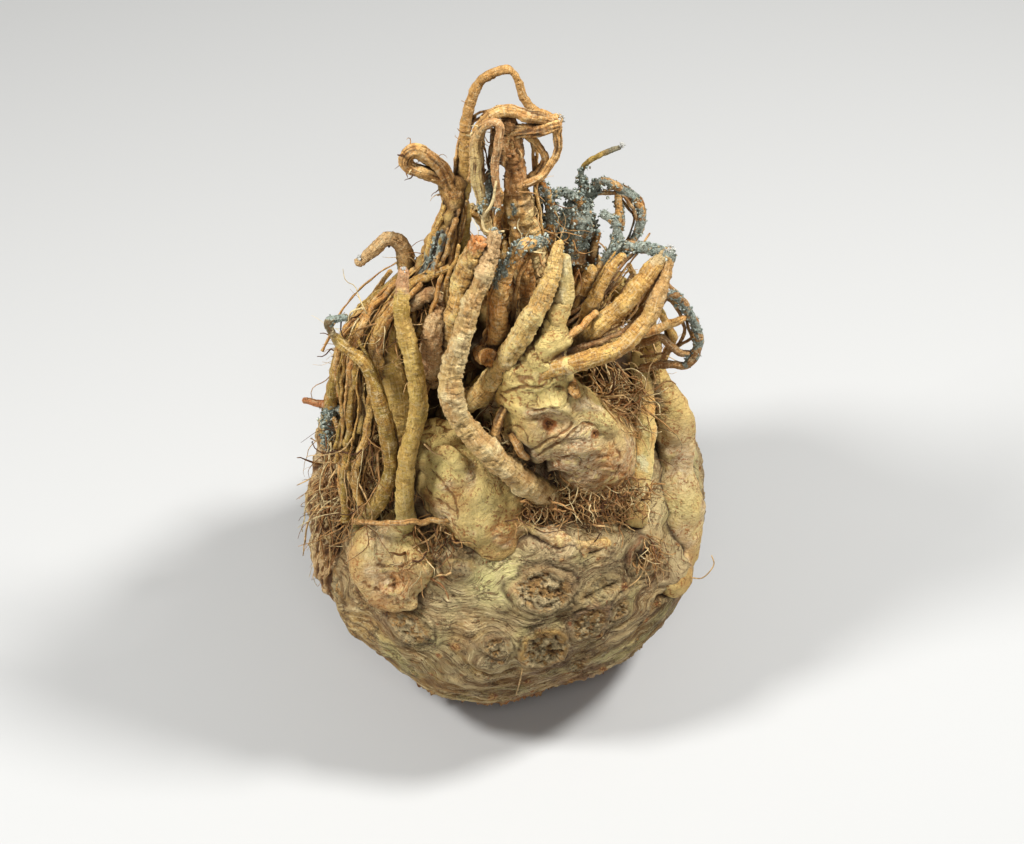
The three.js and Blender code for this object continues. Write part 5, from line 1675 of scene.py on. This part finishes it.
mouldLook = {
    "crumb": (0.22, 0.55),  # smallest and largest radius
    "large": (0.08, 1.5),  # the share of crumbs that are larger still, and how much
    "colours": (
        paint(184, 194, 180), paint(150, 162, 150), paint(224, 230, 214), paint(98, 106, 96),
        paint(190, 168, 124),
    ),
    "often": (34, 30, 12, 15, 9),  # how often each colour comes
    "white": paint(226, 224, 214),
    "dull": paint(180, 186, 172),
    "dark": paint(84, 92, 82),
    "pale": paint(208, 210, 196),
    "above": 98,  # nothing grows lower than this
    "crowding": 2.5,  # crumbs tried for each millimetre of a run that grows thinly
    "bare": 0.16,  # more than this leaves larger bare patches
    "tufted": 60,  # crumbs for each millimetre of a tuft's reach
}
# routes that mould grows along: places with the reach of the growth, then how thickly it grows
mouldRuns = [
    ([[26, 11, 203, 1.7], [32, 11, 210, 1.5], [37, 11, 207, 1.3], [42, 11, 203, 1.3], [45, 9, 197, 1.4],
     [43, 6, 190, 1.6]], 9),
    ([[22, 1, 186, 3.4], [23, 4, 193, 4.6], [24, 7, 199, 5.2], [26, 12, 204, 4.8], [27, 14, 208, 2.6]], 44),
    ([[31, 2, 204, 2.2], [35, 0, 202, 2.2], [37, -2, 198, 2], [37, -4, 193, 2]], 8),
    ([[37, 10, 202, 1], [38, 6, 197, 1.2], [36, 2, 192, 1.6], [33, -2, 188, 2.4]], 10),
    ([[36, -3, 194, 1.6], [42, -5, 195, 2], [48, -8, 196, 1.8], [53, -12, 199, 2.2]], 12),
    ([[56, 0, 170, 1.3], [60, -1, 165, 1.6], [64, -2, 157, 1.5], [66, -4, 149, 1.8],
     [62, -7, 142, 1.3]], 10),
    ([[30, 2, 176, 3.4], [36, 3, 182, 3.6], [40, 0, 188, 3]], 18),
    ([[12, 2, 190, 2.6], [13, 3, 202, 2.6], [12, 4, 214, 2]], 13),
    ([[17, 3, 186, 3.4], [18, 4, 196, 3.6], [19, 6, 206, 2.8]], 26),
    ([[12, 4, 208, 2], [17, 5, 211, 2.2], [23, 7, 208, 2.2]], 16),
    ([[-4, -18, 192, 2], [-1, -17, 200, 2.4], [0, -14, 208, 2], [1, -8, 214, 1.8]], 12),
    ([[2, -15, 203, 2], [9, -13, 204.5, 2], [15, -12, 205, 2]], 12),
    ([[-16, -13, 212, 1.6], [-11, -12, 216, 1.8], [-5, -14, 217, 2], [-1, -15, 212, 1.8]], 16),
    ([[-6, 1, 208, 1.4], [-5, 1, 222, 1.4], [-4, 1, 230, 1]], 10),
    ([[-27, -7, 186, 1.8], [-24, -5, 194, 1.8], [-21, -3, 199, 1.6]], 7),
    ([[-62, -14, 126, 2.6], [-64, -16, 118, 3.6], [-63, -19, 108, 3.4], [-60, -24, 102, 2.2]], 24),
    ([[-59, -22, 178, 1.7], [-56, -21, 179, 1.7]], 5),
    ([[30, 14, 190, 3.6], [26, 16, 198, 3.6]], 16),
    ([[14, -14, 200, 2.2], [19, -12, 196, 2.2], [24, -10, 192, 2.2]], 7),
]
# white tufts: place and reach
mouldTufts = [
    (16.5, 6, 240.5, 1.9), (53, -12, 199.5, 2.2), (-49.5, -1, 186.5, 1.1), (-34, -19, 197.5, 1.3),
    (38, 18, 219.5, 0.9),
]


def storeMould(pieces):
    # how much mould covers each vertex
    for piece in pieces:
        points = readPoints(piece.data)
        share = np.zeros(len(points))
        high = np.flatnonzero(points[:, 2] > mouldLook["above"])
        distance, reach = nearRoutes(points[high], [route for route, _ in mouldRuns], 0.8)
        share[high] = ease(2.1, 0.6, distance / reach - 1.3 * cloud(points[high] / 2.6, 2, 17.0))
        storeField(piece.data, "mouldy", share)


def mouldLayer(finish, place):
    # mould to be laid over a colour where the mesh asks for it
    fresh, middling, _, dark, _ = mouldLook["colours"]
    fuzz = finish.noisy(place, 0.8, 3, 0.7)
    growth = finish.lay(dark, (fuzz, 0.38, 0.5, 1, middling), (fuzz, 0.54, 0.66, 0.9, fresh))
    return finish.maths("MULTIPLY_ADD", fuzz, 0.9, finish.read("mouldy")), 0.9, 1.15, 0.9, growth


def anyWay(chance):
    return Vector((chance.gauss(0, 1), chance.gauss(0, 1), chance.gauss(0, 1)))


def makeMould(finish, surface):
    # one grain set down many times on the roots, each turned, squeezed and coloured its own way
    chance = random.Random(4)
    largeShare, larger = mouldLook["large"]
    grain = newMesh("grain")
    with meshWork(grain) as bm:
        bmesh.ops.create_icosphere(bm, subdivisions=1, radius=1.0)
    corner = np.array([list(vertex.co) for vertex in grain.vertices])
    spots, sizes, tints = [], [], []
    for route, thick in mouldRuns:
        places, reach, lengths = smoothRoute(route, 0.4)
        for _ in range(int(mouldLook["crowding"] * thick * lengths[-1] / coarse)):
            step = chance.randrange(len(places))
            spot = Vector(places[step]) + anyWay(chance) * reach[step] * 0.7
            size, lift = chance.uniform(*mouldLook["crumb"]) * (0.7 + 0.12 * reach[step]), chance.random()
            size *= larger if chance.random() < largeShare else 1
            tint = chance.choices(mouldLook["colours"], mouldLook["often"])[0] * chance.uniform(0.85, 1.15)
            patch = noise.noise(spot / 2.2) + 0.5 * noise.noise(spot / 0.9)
            near, outward = nearestSkin(surface, spot)
            if patch < mouldLook["bare"] or (near - spot).length > 1.6 * reach[step]:
                continue
            spots.append(np.array(near + outward * (size * 0.3 + lift * patch * 0.45 * reach[step])))
            sizes.append(size)
            tints.append(tint * (0.75 + 0.5 * lift))
    say(f"mould: {len(spots)} crumbs")
    for *centre, reach in mouldTufts:
        for _ in range(int(mouldLook["tufted"] * reach / coarse)):
            away = anyWay(chance).normalized()
            spots.append(np.array(centre) + np.array(away) * reach * chance.uniform(0.3, 1.0))
            sizes.append(chance.uniform(0.22, 0.5))
            tints.append(mouldLook["white"] * chance.uniform(0.85, 1.0))
    mesh = joined([grain] * len(spots))
    points = []
    for spot, size in zip(spots, sizes):
        angle, axis = chance.uniform(0, 6.28), (chance.random(), chance.random(), chance.random() + 0.1)
        turn = np.array(Matrix.Rotation(angle, 3, axis))
        squeeze = np.array([chance.uniform(0.55, 1.2) for _ in range(3)])
        points.append(spot + (corner * squeeze) @ turn.T * size)
    points = np.vstack(points)
    points += clouds(points / 0.7, 1, 4.0) * 0.4
    writePoints(mesh, points)
    storeField(mesh, "tint", np.repeat(np.array(tints), len(corner), 0))
    return finishPiece("mould", mesh, finish)


def mouldFinish():
    finish = Finish("mouldCrust", mouldLook)
    place = finish.place()
    broad = finish.noisy(place, 3.0, 3)
    speck = finish.noisy(place, 0.6, 2)
    grit = finish.noisy(place, 0.3, 2)
    colour = finish.lay(
        finish.read("tint", "Color"), (broad, 0.5, 0.66, 0.4, "dull"), (speck, 0.40, 0.30, 0.5, "dark"),
        (speck, 0.62, 0.70, 0.5, "pale"),
    )
    return finish.close(colour, finish.between(grit, 0.3, 0.7, 0.8, 0.95), [(speck, 0.5), (grit, 0.3)], 0.2)


# floor, light and camera

studio = {
    "eye": (1.5, -595.2, 732.6),
    "target": (0, 0, 110),  # where the lamps point
    "tilt": 46.5,  # how far below level the camera looks
    "lens": 84.375,
    "sensor": 36.0,
    "near": 0.01,  # nothing nearer the camera than this is seen, in metres
    "floorSide": 6000,
    "floor": paint(200, 200, 198),
    "floorRoughness": 0.8,
    "sky": 0.13,
    # name: place, size, power
    "lamps": {
        "left": ((-520, -180, 780), 170, 6.8),
        "right": ((480, 60, 820), 170, 7.8),
        "front": ((40, -700, 900), 380, 2.1),
    },
}


def placed(name, data, place):
    # an object in the scene, at a place given in millimetres
    thing = bpy.data.objects.new(name, data)
    thing.location = Vector(place) * mm
    bpy.context.scene.collection.objects.link(thing)
    return thing


def placeStudio():
    scene = bpy.context.scene
    floorMesh = newMesh("floor")
    with meshWork(floorMesh) as bm:
        bmesh.ops.create_grid(bm, x_segments=8, y_segments=8, size=studio["floorSide"] / 2 * mm)
    finish = Finish("paleFloor", studio)
    floorMesh.materials.append(finish.close("floor", "floorRoughness", [], 0.5))
    placed("floor", floorMesh, (0, 0, 0))

    for name, (place, size, power) in studio["lamps"].items():
        lamp = bpy.data.lights.new(name, "AREA")
        lamp.shape = "DISK"
        lamp.size = size * mm
        lamp.energy = power
        held = placed(name, lamp, place)
        way = Vector(studio["target"]) * mm - held.location
        held.rotation_euler = way.to_track_quat("-Z", "Y").to_euler()

    world = bpy.data.worlds.new("room")
    world.use_nodes = True
    sky = world.node_tree.nodes["Background"].inputs
    sky["Color"].default_value = (1, 1, 1, 1)
    sky["Strength"].default_value = studio["sky"]
    scene.world = world
    scene.view_settings.view_transform = "Standard"

    camera = bpy.data.cameras.new("camera")
    camera.lens = studio["lens"]
    camera.sensor_width = studio["sensor"]
    camera.clip_start = studio["near"]
    scene.camera = placed("camera", camera, studio["eye"])
    scene.camera.rotation_euler = (math.radians(90 - studio["tilt"]), 0, 0)


placeStudio()
tuber = makeTuber(skinFinish())
bark = barkFinish()
rootPieces = [makeRoots(name, bark) for name in rootGroups]
footRoutes = [route for group in (frontRoots, rearRoots, slimRoots) for _, route in group.values()]
trunkMass = makeTrunks(trunkFinish(), footRoutes)
skins = [tuber, trunkMass, *rootPieces]
surface = surfaceOf(skins)
storeGapShade(skins, surface[0])
storeMould(skins)
# the painted shade for the gaps is stored by now
say("soil in the gaps")
makeHair(hairFinish(), surface)
makeMould(mouldFinish(), surface)
